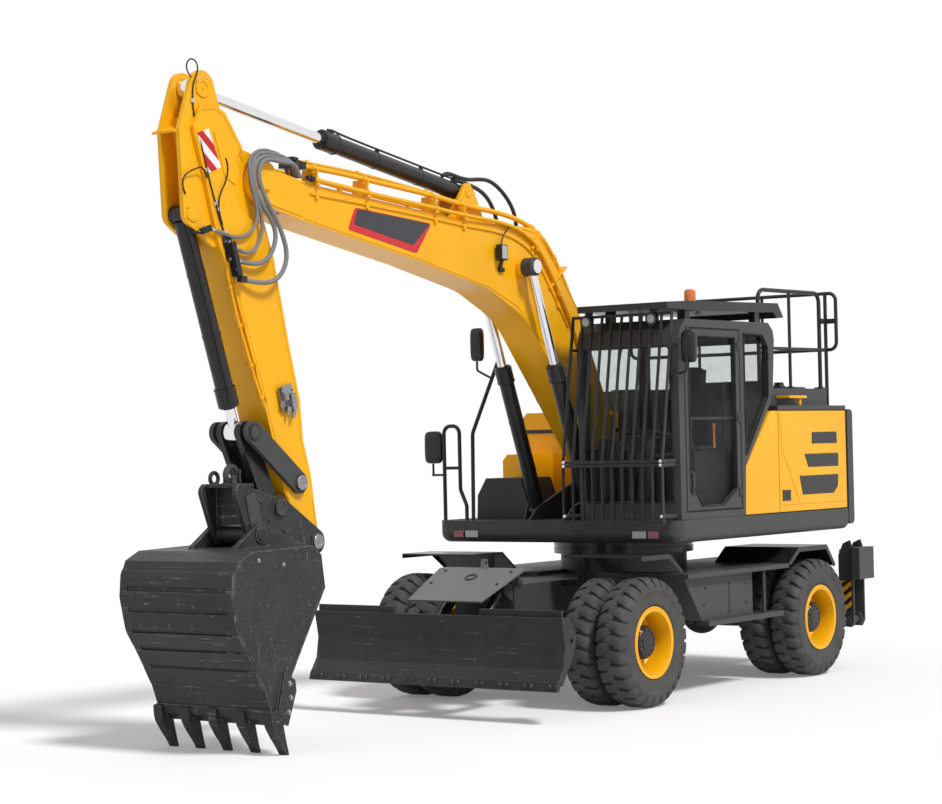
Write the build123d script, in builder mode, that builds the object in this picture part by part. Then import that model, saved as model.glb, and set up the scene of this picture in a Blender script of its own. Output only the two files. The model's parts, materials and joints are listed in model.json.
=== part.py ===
"""Wheeled excavator, 18 tonne class, as separate sub-parts in millimetres.

X is forward, Y is to the left and Z is up. The model is drawn from the swing
axis on the ground, and each piece is written from the middle of the machine's
length, so that the finished part stands centred on its origin.
Points written as pairs are (x, z) in a plane of constant Y.
"""
from build123d import *
from math import sqrt
import os

os.makedirs("parts", exist_ok=True)

# ---------------------------------------------------------------- overall
origin_x = 1583.5  # middle of the overall length, ahead of the swing axis
half_width = 1245  # half the width of the upper structure
running_gap = 0.05  # radial clearance of a pin in its bore
side_gap = 5  # clearance beside a moving piece
seat_gap = 0.3  # clearance where a curved face sits against another

# ---------------------------------------------------------------- wheels
front_axle_x = 1520
rear_axle_x = -1320
tyre_radius = 526
tyre_width = 275
twin_spacing = 320
twin_middle_y = 967
rim_radius = 254
rim_flange = 38
rim_half_width = 112
rim_plate = 12
disc_inset = 90
disc_bore = 100
axle_z = 526
ground_z = axle_z - tyre_radius  # the machine stands on this height, which is moved to zero
hub_radius = 138
hub_end_y = 1180
spindle_radius = 70
kingpin_y = 610
kingpin_radius = 30
knuckle_half_height = 120
lug_thickness = 40
steering_arm = 170
steering_rod_radius = 22

# ---------------------------------------------------------------- chassis
beam_half_width = 300
beam_front_x = 2120
beam_rear_x = -2100
beam_bottom_z = 725
beam_top_z = 1010
drum_radius = 560
ring_radius = 620
ring_bottom_z = 1175
platform_bottom_z = 1300
deck_z = 1490
fender_y = (460, 1220)
fender_z = 1225
fender_plate = 14
rear_fender_z = axle_z + tyre_radius + 121
step_z = 1040
step_y = 1220
box_y = (620, 1150)
box_z = (630, 1000)

# ---------------------------------------------------------------- blade
blade_half_width = 1231
blade_pivot = (2060, 600)
blade_pin_radius = 40
blade_arm_y = (305, 345)
blade_cylinder_y = 215
blade_cylinder_base = (2185, 985)
blade_cylinder_tip = (2600, 560)
blade_barrel_length = 400
blade_rod_length = 430

# ---------------------------------------------------------------- outriggers
outrigger_x = -2280
outrigger_plate_x = (60, 88)
outrigger_leg_x = (96, 116)
outrigger_pivot = (1080, 430)
outrigger_cylinder_base = (430, 890)
outrigger_cylinder_tip = (1018, 655)
outrigger_barrel_length = 578
outrigger_rod_length = 558

# ---------------------------------------------------------------- working equipment
boom_y = -140  # the boom stands right of the middle, clear of the cab
boom_foot = (20, 1750)
boom_tip = (4773, 4098)
boom_half_width = 170
boom_foot_pin_radius = 55
arm_half_width = 140
arm_neck_half_width = 118
arm_neck_radius = 300
arm_ear_pin = (5340, 4731)
arm_tip = (4277, 1462)
arm_rocker_pin = (4449, 1902)
arm_cylinder_base = (2171, 4225)
arm_barrel_length = 1770
arm_rod_length = 1840
bucket_cylinder_base = (5466, 3830)
bucket_barrel_length = 1430
bucket_rod_length = 1360
rod_pin = (4945, 2281)
coupler_link_pin = (4692, 1730)
bucket_front_pin = (4945, 1542)
bucket_rear_pin = (4499, 1370)
boom_cylinder_base = (723, 1565)
boom_cylinder_tip = (1543, 3628)
boom_cylinder_y = boom_half_width + 100
boom_barrel_length = 1335
boom_rod_length = 1410
pin_radius = 45
bucket_half_width = 545
bucket_plate = 24
bucket_ear_y = (190, 230)
tooth_spacing = 265

# ---------------------------------------------------------------- cab and body
cab_y = (235, 1235)
cab_wall = 50
cab_door_thickness = 40
door_gap = 8
glass = 6
body_y = 1235
body_front_x = -640
body_rear_x = -1925
body_top_z = 2440
hood_front_x = -905
hood_half_width = 850
deck_half_width = 1045
hood_top_z = 2600
panel = 50
jamb_y = body_y - panel - seat_gap
tank_inner_y = -440
tank_top_z = body_top_z - 10
tail_radius = 2390
tail_z = (1345, 2405)
king_post_y = (boom_half_width + side_gap, boom_half_width + side_gap + 23)


def block(x, y, z, mode=Mode.ADD):
    """Add a box given its low and high limits on each axis."""
    with Locations(((x[0] + x[1]) / 2, (y[0] + y[1]) / 2, (z[0] + z[1]) / 2)):
        Box(x[1] - x[0], y[1] - y[0], z[1] - z[0], mode=mode)


def slab(outline, y, mode=Mode.ADD):
    """Add a plate that fills an XZ outline between two Y limits."""
    with BuildSketch(Plane.XZ.offset(-y[1])) as profile:
        Polygon(*outline, align=None)
    extrude(profile.sketch, amount=y[1] - y[0], dir=(0, -1, 0), mode=mode)


def layer(outline, z, mode=Mode.ADD):
    """Add a plate that fills an XY outline between two Z limits."""
    with BuildSketch(Plane.XY.offset(z[0])) as profile:
        Polygon(*outline, align=None)
    extrude(profile.sketch, amount=z[1] - z[0], dir=(0, 0, 1), mode=mode)


def bulkhead(outline, x, mode=Mode.ADD):
    """Add a plate that fills a YZ outline between two X limits."""
    with BuildSketch(Plane.YZ.offset(x[0])) as profile:
        Polygon(*outline, align=None)
    extrude(profile.sketch, amount=x[1] - x[0], dir=(1, 0, 0), mode=mode)


def wrap(bosses, y, mode=Mode.ADD):
    """Add a plate whose XZ outline wraps round (pin, radius) bosses."""
    with BuildSketch(Plane.XZ.offset(-y[1])) as profile:
        for pin, radius in bosses:
            with Locations(pin):
                Circle(radius)
        make_hull()
    extrude(profile.sketch, amount=y[1] - y[0], dir=(0, -1, 0), mode=mode)


def round_bar(start, end, radius, low=0, high=None, mode=Mode.ADD):
    """Add a round bar on the line from start to end, or between two distances on it."""
    line = Vector(end) - Vector(start)
    high = line.length if high is None else high
    aim = Plane(Vector(start), z_dir=line)
    with Locations(aim.offset(low)):
        Cylinder(radius, high - low, align=(Align.CENTER, Align.CENTER, Align.MIN), mode=mode)


def bar_y(pin, radius, y, mode=Mode.ADD):
    """Add a round bar along Y at an XZ point."""
    round_bar((pin[0], y[0], pin[1]), (pin[0], y[1], pin[1]), radius, mode=mode)


def both(low, high):
    """A Y span and its mirror image on the right-hand side."""
    return ((low, high), (-high, -low))


def tube(points, radius, bend):
    """Add a bent tube that follows corner points with one bend radius."""
    with BuildLine() as path:
        FilletPolyline(*points, radius=bend)
    with BuildSketch(path.line ^ 0) as section:
        Circle(radius)
    sweep(section.sketch, path=path.line)


def barrel(base, tip, across, length, outer, rod_radius, eye):
    """Add a cylinder barrel: an eye (radius, half width, pin) and a tube with a gland."""
    eye_radius, eye_half, pin = eye
    gland = 0.08 * length + 20
    bore = 0.76 * outer
    side = Vector(across) * eye_half
    round_bar(base, tip, outer, eye_radius * 0.7, length - gland)
    round_bar(base, tip, outer * 1.16, length - gland, length)
    round_bar(base, tip, bore, eye_radius + 25, length - gland, mode=Mode.SUBTRACT)
    round_bar(base, tip, rod_radius + running_gap, length - gland - 1, length + 1, mode=Mode.SUBTRACT)
    round_bar(Vector(base) - side, Vector(base) + side, eye_radius)
    round_bar(Vector(base) - side * 1.1, Vector(base) + side * 1.1, pin + running_gap, mode=Mode.SUBTRACT)


def rod(base, tip, across, length, outer, radius, eye):
    """Add a cylinder rod: an eye (radius, half width) at the tip, and its piston."""
    eye_radius, eye_half = eye
    side = Vector(across) * eye_half
    piston = 0.03 * length + 20
    round_bar(tip, base, radius, eye_radius * 0.7, length - 1)
    round_bar(tip, base, 0.76 * outer - 1, length - piston, length)
    round_bar(Vector(tip) - side, Vector(tip) + side, eye_radius)


def at(pin, y):
    """The point of an XZ pin at a Y position."""
    return (pin[0], y, pin[1])


def finish(piece, name):
    """Write one finished piece, measured from the part's origin."""
    placed = piece.part.moved(Location((-origin_x, 0, -ground_z)))
    placed.label = name
    export_step(placed, f"parts/{name}.step")


# ================================================================ chassis
with BuildPart() as chassis_frame:
    block((beam_rear_x, beam_front_x), (-beam_half_width, beam_half_width), (beam_bottom_z, beam_top_z))
    block((-820, 900), (-beam_half_width, beam_half_width), (560, beam_bottom_z))
    round_bar((0, 0, beam_top_z), (0, 0, ring_bottom_z), drum_radius)
    # tail block that carries the outriggers
    block((outrigger_x - outrigger_plate_x[1], beam_rear_x), (-beam_half_width, beam_half_width),
          (370, beam_top_z))
    for side in (1, -1):
        for x in (-560, 0, 520):
            block((x - 40, x + 40), sorted((side * beam_half_width, side * box_y[0])), (820, 960))
        # outriggers' twin side plates, and the ears of their cylinders
        for x in (outrigger_x - outrigger_plate_x[1], outrigger_x + outrigger_plate_x[0]):
            plate = (x, x + outrigger_plate_x[1] - outrigger_plate_x[0])
            bulkhead([(side * 290, 370), (side * 1120, 370), (side * 1145, 430), (side * 1120, 490),
                      (side * 900, 560), (side * 490, 620), (side * 490, 960), (side * 290, 960)], plate)
        y_pivot, z_pivot = side * outrigger_pivot[0], outrigger_pivot[1]
        round_bar((outrigger_x - 130, y_pivot, z_pivot), (outrigger_x + 130, y_pivot, z_pivot),
                  35 + running_gap, mode=Mode.SUBTRACT)
        y_base, z_base = side * outrigger_cylinder_base[0], outrigger_cylinder_base[1]
        round_bar((outrigger_x - outrigger_plate_x[1], y_base, z_base),
                  (outrigger_x + outrigger_plate_x[1], y_base, z_base), 25)
    for y in both(blade_arm_y[0] - 60, blade_arm_y[0] - side_gap):
        slab([(beam_front_x, beam_bottom_z), (blade_pivot[0] - 150, beam_bottom_z),
              (blade_pivot[0] - 70, 530), (blade_pivot[0] + 70, 530), (beam_front_x + 20, 640)], y)
    for y in both(blade_arm_y[0] - side_gap, blade_arm_y[1] + 12):
        bar_y(blade_pivot, blade_pin_radius, y)
    # ears and pins of the blade cylinders, and the brackets under the cover
    for y in (blade_cylinder_y, -blade_cylinder_y):
        for ear in ((y - 70, y - 53), (y + 53, y + 70)):
            wrap([(blade_cylinder_base, 48), ((beam_front_x - 20, 930), 60), ((beam_front_x - 20, 990), 20)],
                 ear)
        bar_y(blade_cylinder_base, 22, (y - 70, y + 70))
    for y in both(240, 280):
        slab([(1960, beam_top_z), (beam_front_x, beam_top_z), (beam_front_x, 1128), (2040, 1128)], y)
finish(chassis_frame, "chassis_frame")

with BuildPart() as slew_ring:
    round_bar((0, 0, ring_bottom_z), (0, 0, platform_bottom_z - seat_gap), ring_radius)
    round_bar((0, 0, ring_bottom_z), (0, 0, platform_bottom_z - seat_gap), 480, mode=Mode.SUBTRACT)
    round_bar((0, 0, 1225), (0, 0, 1240), ring_radius + 1, mode=Mode.SUBTRACT)
    round_bar((0, 0, 1225), (0, 0, 1240), ring_radius - 12)
    round_bar((0, 0, 1225), (0, 0, 1240), 480, mode=Mode.SUBTRACT)
finish(slew_ring, "slew_ring")

arch_front_x = rear_axle_x + tyre_radius - 201
arch_rear_x = rear_axle_x - tyre_radius + 321
fender_end_x = rear_axle_x - tyre_radius + 158
with BuildPart() as fenders:
    for y in both(*fender_y):
        slab([(1640, fender_z), (1208, fender_z), (1010, 1080), (1010, 1062), (1212, fender_z - fender_plate),
              (1640, fender_z - fender_plate)], y)
    for y in both(fender_y[1] - 10, fender_y[1]):
        slab([(1640, fender_z), (1208, fender_z), (1010, 1080), (1010, 1045), (1220, fender_z - 40),
              (1640, fender_z - 40)], y)
    for y in both(beam_half_width, fender_y[0] + 60):
        block((front_axle_x - 190, front_axle_x - 90), y, (beam_top_z - 50, beam_top_z))
    for y in both(fender_y[0], fender_y[0] + 60):
        block((front_axle_x - 190, front_axle_x - 90), y, (beam_top_z, fender_z - fender_plate))
    for y in both(*fender_y):
        slab([(-800, step_z), (arch_front_x, rear_fender_z), (arch_rear_x, rear_fender_z),
              (fender_end_x, rear_fender_z - 188), (fender_end_x + 12, rear_fender_z - 201),
              (arch_rear_x + 6, rear_fender_z - fender_plate), (arch_front_x - 5, rear_fender_z - fender_plate),
              (-812, step_z - 10)], y)
    for y in both(fender_y[1] - 10, fender_y[1]):
        slab([(-800, step_z), (arch_front_x, rear_fender_z), (arch_rear_x, rear_fender_z),
              (fender_end_x, rear_fender_z - 188), (fender_end_x + 33, rear_fender_z - 208),
              (arch_rear_x + 17, rear_fender_z - 43), (arch_front_x - 13, rear_fender_z - 43),
              (-840, step_z - 20)], y)
    for y in both(beam_half_width, fender_y[0] + 60):
        block((rear_axle_x - 50, rear_axle_x + 50), y, (beam_top_z - 50, beam_top_z))
    for y in both(fender_y[0], fender_y[0] + 60):
        block((rear_axle_x - 50, rear_axle_x + 50), y, (beam_top_z, rear_fender_z - fender_plate))
finish(fenders, "fenders")

with BuildPart() as side_boxes:
    for y in both(*box_y):
        slab([(602, box_z[0]), (880, box_z[1]), (-262, box_z[1]), (-262, box_z[0])], y)
    for y in both(beam_half_width, step_y):
        block((-800, 924), y, (box_z[1], step_z))
    for y in both(1090, step_y):
        block((-689, 602), y, (585, box_z[0]))
    for y in both(box_y[0], 640):
        block((-689, -262), y, (585, box_z[1]))
    for y in both(640, 1090):
        block((-689, -262), y, (585, 600))
    for y in (1185, -1185):
        round_bar((-400, y, box_z[0]), (-400, y, box_z[1]), 16)
    round_bar((0, 0, box_z[1] - 10), (0, 0, step_z + 10), drum_radius + seat_gap, mode=Mode.SUBTRACT)
finish(side_boxes, "side_boxes")

with BuildPart() as drive_line:
    block((-420, 420), (-190, 190), (430, 559))
    round_bar((420, 0, axle_z - 20), (front_axle_x - 329, 0, axle_z - 20), 45)
    round_bar((-420, 0, axle_z - 20), (rear_axle_x + 329, 0, axle_z - 20), 45)
finish(drive_line, "drive_line")

# ================================================================ axles and wheels
with BuildPart() as front_axle:
    bar_y((front_axle_x, axle_z), 95, (-480, 480))
    with Locations((front_axle_x, 0, axle_z)):
        Sphere(178)
    round_bar((front_axle_x - 329, 0, axle_z), (front_axle_x, 0, axle_z), 80)
    block((front_axle_x - 150, front_axle_x + 150), (-110, 110), (axle_z + 90, beam_bottom_z - 1))
    for side in (1, -1):
        x = (front_axle_x - 70, front_axle_x + 70)
        block(x, sorted((side * 470, side * 540)), (axle_z - 165, axle_z + 165))
        for z in ((axle_z - 165, axle_z - 125), (axle_z + 125, axle_z + 165)):
            block((x[0] + 15, x[1] - 15), sorted((side * 530, side * kingpin_y)), z)
            round_bar((front_axle_x, side * kingpin_y, z[0]), (front_axle_x, side * kingpin_y, z[1]), 55)
            round_bar((front_axle_x, side * kingpin_y, z[0]), (front_axle_x, side * kingpin_y, z[1]),
                      kingpin_radius + running_gap, mode=Mode.SUBTRACT)
    # body of the steering cylinder, carried behind the axle
    steering_line = (front_axle_x - steering_arm, axle_z - 70)
    bar_y(steering_line, 44, (-230, 230))
    for y in both(120, 160):
        block((steering_line[0], front_axle_x), y, (axle_z - 95, axle_z - 45))
    bar_y(steering_line, steering_rod_radius + running_gap, (-231, 231), mode=Mode.SUBTRACT)
finish(front_axle, "front_axle")

with BuildPart() as steering_rod:
    bar_y(steering_line, steering_rod_radius, (-kingpin_y - 5, kingpin_y + 5))
    for y in (kingpin_y, -kingpin_y):
        round_bar((steering_line[0], y, axle_z - 95), (steering_line[0], y, axle_z - 45), 34)
finish(steering_rod, "steering_rod")

with BuildPart() as rear_axle:
    bar_y((rear_axle_x, axle_z), 105, (-690, 690))
    bar_y((rear_axle_x, axle_z), spindle_radius, (-1100, 1100))
    with Locations((rear_axle_x, 0, axle_z)):
        Sphere(185)
    round_bar((rear_axle_x, 0, axle_z), (rear_axle_x + 329, 0, axle_z), 80)
    for y in both(190, 280):
        block((rear_axle_x - 90, rear_axle_x + 90), y, (axle_z + 50, beam_bottom_z))
finish(rear_axle, "rear_axle")

for side, name in ((1, "left"), (-1, "right")):
    with BuildPart() as knuckle:
        y = side * kingpin_y
        round_bar((front_axle_x, y, axle_z - knuckle_half_height), (front_axle_x, y, axle_z + knuckle_half_height),
                  60)
        round_bar((front_axle_x, y, axle_z - 172), (front_axle_x, y, axle_z + 172), kingpin_radius)
        bar_y((front_axle_x, axle_z), spindle_radius, sorted((y, side * 1100)))
        bar_y((front_axle_x, axle_z), 105, sorted((side * (kingpin_y + 30), side * 690)))
        block((front_axle_x - steering_arm - 32, front_axle_x), (y - 18, y + 18), (axle_z - 38, axle_z - 10))
    finish(knuckle, f"knuckle_{name}")

tyre_profile = [(-rim_half_width + seat_gap, rim_radius), (-rim_half_width + seat_gap, 298), (-132, 350),
                (-137, 420), (-128, 490), (-106, tyre_radius), (106, tyre_radius), (128, 490), (137, 420),
                (132, 350), (rim_half_width - seat_gap, 298), (rim_half_width - seat_gap, rim_radius)]
for axle_x, end in ((front_axle_x, "front"), (rear_axle_x, "rear")):
    for side, name in ((1, "left"), (-1, "right")):
        axle_line = Axis((axle_x, 0, axle_z), (0, 1, 0))
        twins = [(side * (twin_middle_y + twin_spacing / 2), 1), (side * (twin_middle_y - twin_spacing / 2), -1)]
        with BuildPart() as tyres:
            for y, facing in twins:
                with BuildSketch(Plane.YZ.offset(axle_x)):
                    Polygon(*[(y + side_y, axle_z + r) for side_y, r in tyre_profile], align=None)
                revolve(axis=axle_line)
        finish(tyres, f"tyres_{end}_{name}")

        with BuildPart() as rims:
            for y, facing in twins:
                inner = rim_radius - seat_gap - rim_plate
                flange = rim_half_width + rim_plate
                disc = y - side * facing * disc_inset
                with BuildSketch(Plane.YZ.offset(axle_x)):
                    Polygon((y - flange, axle_z + inner), (y + flange, axle_z + inner),
                            (y + flange, axle_z + rim_radius + rim_flange),
                            (y + rim_half_width, axle_z + rim_radius + rim_flange),
                            (y + rim_half_width, axle_z + rim_radius - seat_gap),
                            (y - rim_half_width, axle_z + rim_radius - seat_gap),
                            (y - rim_half_width, axle_z + rim_radius + rim_flange),
                            (y - flange, axle_z + rim_radius + rim_flange), align=None)
                    Polygon((disc - 7, axle_z + disc_bore), (disc + 7, axle_z + disc_bore),
                            (disc + 7, axle_z + inner + 2), (disc - 7, axle_z + inner + 2), align=None)
                revolve(axis=axle_line)
            outer_disc = twin_middle_y + twin_spacing / 2 - disc_inset
            inner_disc = twin_middle_y - twin_spacing / 2 + disc_inset
            centre = (axle_x, axle_z)
            bar_y(centre, 165, sorted((side * (inner_disc + 7), side * (outer_disc - 7))))
            bar_y(centre, disc_bore - seat_gap, sorted((side * (inner_disc - 60), side * (outer_disc + 20))))
            bar_y(centre, hub_radius, sorted((side * (outer_disc + 7), side * hub_end_y)))
            bar_y(centre, spindle_radius + running_gap, sorted((side * (inner_disc - 61), side * 1105)),
                  mode=Mode.SUBTRACT)
        finish(rims, f"rims_{end}_{name}")

# ================================================================ dozer blade
blade_face = [(2813, 815), (2772, 600), (2800, 420), (2880, 312)]
blade_back = [(2852, 300), (2770, 410), (2740, 600), (2781, 815)]
with BuildPart() as dozer_blade:
    slab(blade_face + blade_back, (-blade_half_width, blade_half_width))
    slab([(2876, 330), (2901, 258), (2874, 258), (2846, 318)], (-blade_half_width, blade_half_width))
    for y in both(blade_half_width - 22, blade_half_width):
        slab([(2813, 815), (2700, 815), (2622, 640), (2680, 500), (2820, 300), (2890, 300), (2800, 430),
              (2772, 600)], y)
    for y in both(blade_half_width - 23, blade_half_width + 1):
        bar_y((2690, 630), 28, y, mode=Mode.SUBTRACT)
    for y in ((-1209, -430), (430, 1209)):
        block((2761, 2779), y, (800, 868))
    for y in both(*blade_arm_y):
        wrap([(blade_pivot, 72), ((2540, 520), 60)], y)
        slab([(2520, 460), (2520, 580), (2755, 600), (2772, 430)], y)
        bar_y(blade_pivot, blade_pin_radius + running_gap, (y[0] - 1, y[1] + 1), mode=Mode.SUBTRACT)
    bar_y((2480, 510), 50, (-blade_arm_y[0] - 5, blade_arm_y[0] + 5))
    for y in (blade_cylinder_y, -blade_cylinder_y):
        for ear in ((y - 66, y - 53), (y + 53, y + 66)):
            wrap([(blade_cylinder_tip, 45), ((2730, 600), 40), ((2740, 500), 40)], ear)
finish(dozer_blade, "dozer_blade")

with BuildPart() as blade_cover:
    slab([(2040, 1142), (2150, 1142), (2672, 914), (2667, 902), (2147, 1128), (2040, 1128)], (-427, 427))
    for side in (1, -1):
        layer([(2150, side * 427), (2700, side * 362), (2700, side * 500), (2150, side * 500)], (880, 1160),
              mode=Mode.SUBTRACT)
    slab([(2075, 1142), (2145, 1142), (2130, 1215), (2090, 1215)], (-18, 18))
    bar_y((2110, 1182), 18, (-19, 19), mode=Mode.SUBTRACT)
finish(blade_cover, "blade_cover")

blade_eye = (42, 46)
with BuildPart() as blade_barrels:
    for y in (blade_cylinder_y, -blade_cylinder_y):
        barrel(at(blade_cylinder_base, y), at(blade_cylinder_tip, y), (0, 1, 0), blade_barrel_length, 42, 26,
               (*blade_eye, 22))
finish(blade_barrels, "blade_barrels")

with BuildPart() as blade_rods:
    for y in (blade_cylinder_y, -blade_cylinder_y):
        rod(at(blade_cylinder_base, y), at(blade_cylinder_tip, y), (0, 1, 0), blade_rod_length, 42, 26, blade_eye)
finish(blade_rods, "blade_rods")

# ================================================================ outriggers
for side, name in ((1, "left"), (-1, "right")):
    pivot = (outrigger_x, side * outrigger_pivot[0], outrigger_pivot[1])
    base = (outrigger_x, side * outrigger_cylinder_base[0], outrigger_cylinder_base[1])
    tip = (outrigger_x, side * outrigger_cylinder_tip[0], outrigger_cylinder_tip[1])
    with BuildPart() as outrigger_leg:
        for x in ((outrigger_x - outrigger_leg_x[1], outrigger_x - outrigger_leg_x[0]),
                  (outrigger_x + outrigger_leg_x[0], outrigger_x + outrigger_leg_x[1])):
            bulkhead([(side * 1010, 430), (side * 1040, 372), (side * 1120, 365), (side * 1150, 420),
                      (side * 1150, 1090), (side * 1120, 1180), (side * 1050, 1150), (side * 1000, 1040),
                      (side * 1000, 760), (side * 965, 690), (side * 965, 610), (side * 1000, 530)], x)
            round_bar((x[0], tip[1], tip[2]), (x[1], tip[1], tip[2]), 26)
        block((outrigger_x - outrigger_leg_x[0], outrigger_x + outrigger_leg_x[0]),
              sorted((side * 1000, side * 1150)), (860, 1090))
        block((outrigger_x - 155, outrigger_x + 140), sorted((side * 1150, side * 1232)), (815, 1112))
        round_bar((outrigger_x - 125, pivot[1], pivot[2]), (outrigger_x + 125, pivot[1], pivot[2]), 35)
    finish(outrigger_leg, f"outrigger_leg_{name}")

    with BuildPart() as outrigger_barrel:
        barrel(base, tip, (1, 0, 0), outrigger_barrel_length, 48, 28, (46, 45, 25))
    finish(outrigger_barrel, f"outrigger_barrel_{name}")

    with BuildPart() as outrigger_rod:
        rod(base, tip, (1, 0, 0), outrigger_rod_length, 48, 28, (42, 60))
    finish(outrigger_rod, f"outrigger_rod_{name}")

# ================================================================ upper structure
with BuildPart() as platform:
    block((-1918, 1100), (-half_width, half_width), (platform_bottom_z, deck_z))
    fillet(platform.edges().filter_by(Axis.Z).group_by(Axis.X)[-1], 110)
    fillet(platform.edges().filter_by(Axis.X).group_by(Axis.Z)[0], 80)
    round_bar((0, 0, platform_bottom_z), (0, 0, platform_bottom_z + 60), 470, mode=Mode.SUBTRACT)
    for low, high in (king_post_y, (-king_post_y[1], -king_post_y[0])):
        slab([(-420, deck_z), (1000, deck_z), (860, 1600), (200, 1840), (100, 1885), (-60, 1885),
              (-200, 1800), (-420, 1600)], (boom_y + low, boom_y + high))
    bar_y(boom_foot, boom_foot_pin_radius, (boom_y - king_post_y[1] - 15, boom_y + king_post_y[1] + 15))
    for side in (1, -1):
        ears = sorted((boom_y + side * 342, boom_y + side * 365))
        wrap([(boom_cylinder_base, 72), ((640, deck_z), 10), ((810, deck_z), 10)], ears)
        bar_y(boom_cylinder_base, pin_radius, sorted((boom_y + side * 190, boom_y + side * 365)))
finish(platform, "platform")

with BuildPart() as counterweight:
    corner_x = -sqrt(tail_radius ** 2 - half_width ** 2)
    with BuildSketch(Plane.XY.offset(tail_z[0])):
        with BuildLine():
            ThreePointArc((corner_x, half_width), (-tail_radius, 0), (corner_x, -half_width))
            Polyline((corner_x, -half_width), (-1935, -half_width), (-1935, half_width), (corner_x, half_width))
        make_face()
    extrude(amount=tail_z[1] - tail_z[0])
    rear_edges = counterweight.edges().filter_by(GeomType.CIRCLE)
    fillet(rear_edges, 45)
finish(counterweight, "counterweight")

with BuildPart() as engine:
    block((-1800, -960), (-420, 420), (deck_z, 2200))
finish(engine, "engine")

with BuildPart() as engine_bay_frame:
    block((body_front_x - 20, body_front_x), (tank_inner_y + side_gap, jamb_y), (deck_z, body_top_z))
    block((body_rear_x, body_rear_x + 20), (-jamb_y, jamb_y), (deck_z, body_top_z))
    block((body_rear_x, body_front_x + 560), (jamb_y - 20, jamb_y), (deck_z, deck_z + 40))
    block((body_rear_x, hood_front_x), (-jamb_y, 20 - jamb_y), (deck_z, deck_z + 40))
    block((body_rear_x, body_front_x), (-body_y, body_y), (body_top_z - 40, body_top_z))
    block((body_rear_x, body_front_x), (-deck_half_width, deck_half_width), (body_top_z, hood_top_z))
    block((body_rear_x + 20, hood_front_x), (-hood_half_width, hood_half_width), (body_top_z - 41, hood_top_z + 1),
          mode=Mode.SUBTRACT)
    for y in both(hood_half_width - 30, hood_half_width):
        block((body_rear_x + 20, hood_front_x), y, (body_top_z - 40, hood_top_z - panel))
finish(engine_bay_frame, "engine_bay_frame")

with BuildPart() as engine_hood:
    block((body_rear_x + 20 + door_gap, hood_front_x - door_gap),
          (-hood_half_width + door_gap, hood_half_width - door_gap), (hood_top_z - panel + seat_gap, hood_top_z + 25))
    fillet(engine_hood.faces().sort_by(Axis.Z)[-1].edges(), 20)
finish(engine_hood, "engine_hood")

door_z = (deck_z + door_gap, body_top_z - 40 - door_gap)
with BuildPart() as left_rear_door:
    layer([(body_rear_x + door_gap, body_y), (body_front_x - 5, body_y), (body_front_x - 5, body_y - panel),
           (body_rear_x + door_gap + panel, body_y - panel)], door_z)
finish(left_rear_door, "left_rear_door")

cab_rear_line = [(-21, deck_z), (-40, 1906), (-507, 2461)]
with BuildPart() as left_mid_door:
    slab([(body_front_x + 5, door_z[0]), (-36, door_z[0]), (-55, 1912), (-500, 2392), (body_front_x + 5, 2392)],
         (body_y - panel, body_y))
    layer([(body_front_x + 5, body_y), (body_front_x + 5, body_y - panel - 1),
           (body_front_x + 6 + panel, body_y - panel - 1)], door_z, mode=Mode.SUBTRACT)
finish(left_mid_door, "left_mid_door")

with BuildPart() as right_door:
    layer([(body_rear_x + door_gap, -body_y), (hood_front_x - 5, -body_y), (hood_front_x - 5, panel - body_y),
           (body_rear_x + door_gap + panel, panel - body_y)], door_z)
finish(right_door, "right_door")

with BuildPart() as fuel_tank:
    bulkhead([(-body_y, deck_z), (-body_y, tank_top_z - 100), (-1130, tank_top_z), (tank_inner_y, tank_top_z),
              (tank_inner_y, deck_z)],
             (hood_front_x + 5, -160))
    bulkhead([(-1130, deck_z), (-1130, tank_top_z - 430), (-1080, tank_top_z - 375), (-850, tank_top_z - 375),
              (-850, deck_z)], (-160, 240))
    round_bar((-400, -800, tank_top_z), (-400, -800, tank_top_z + 50), 60)
    block((hood_front_x, body_front_x), (-1240, tank_inner_y + 1), (body_top_z - 40, body_top_z), mode=Mode.SUBTRACT)
finish(fuel_tank, "fuel_tank")

with BuildPart() as tool_box:
    bulkhead([(-1080, deck_z), (-1070, 1700), (-975, 1850), (-600, 1850), (-515, 1600), (-515, deck_z)],
             (248, 720))
finish(tool_box, "tool_box")

# ================================================================ cab
cab_outline = [(1030, deck_z), (1030, 2960), (990, 3080), (900, 3160), (-500, 3165), (-580, 3100), (-600, 3020),
               (-562, 2600), (-507, 2461), (-40, 1906), (-21, deck_z)]
cab_inside = [(980, deck_z + 60), (980, 2940), (950, 3030), (880, 3110), (-480, 3115), (-530, 3080), (-550, 3010),
              (-512, 2610), (-465, 2490), (10, 1925), (29, deck_z + 60)]
door_outline = [(20, 1560), (935, 1560), (935, 2900), (900, 3010), (830, 3085), (20, 3085)]
door_opening = [(12, 1552), (943, 1552), (943, 2902), (906, 3016), (834, 3093), (12, 3093)]
door_lip = [(45, 1580), (915, 1580), (915, 2895), (885, 2998), (822, 3065), (45, 3065)]
quarter_window = [(-60, 3060), (-390, 3055), (-480, 2950), (-470, 2520), (-60, 2010)]
door_window = [(105, 1730), (330, 1600), (700, 1600), (870, 1830), (870, 3020), (100, 3020)]
right_window = [(40, 2080), (920, 2080), (920, 3000), (860, 3060), (40, 3060)]
right_rear_window = [(-60, 3060), (-390, 3055), (-480, 2950), (-470, 2560), (-60, 2080)]
front_window = [(300, 1640), (1170, 1640), (1170, 2930), (300, 2930)]
rear_window_z = (2660, 2990)

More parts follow.
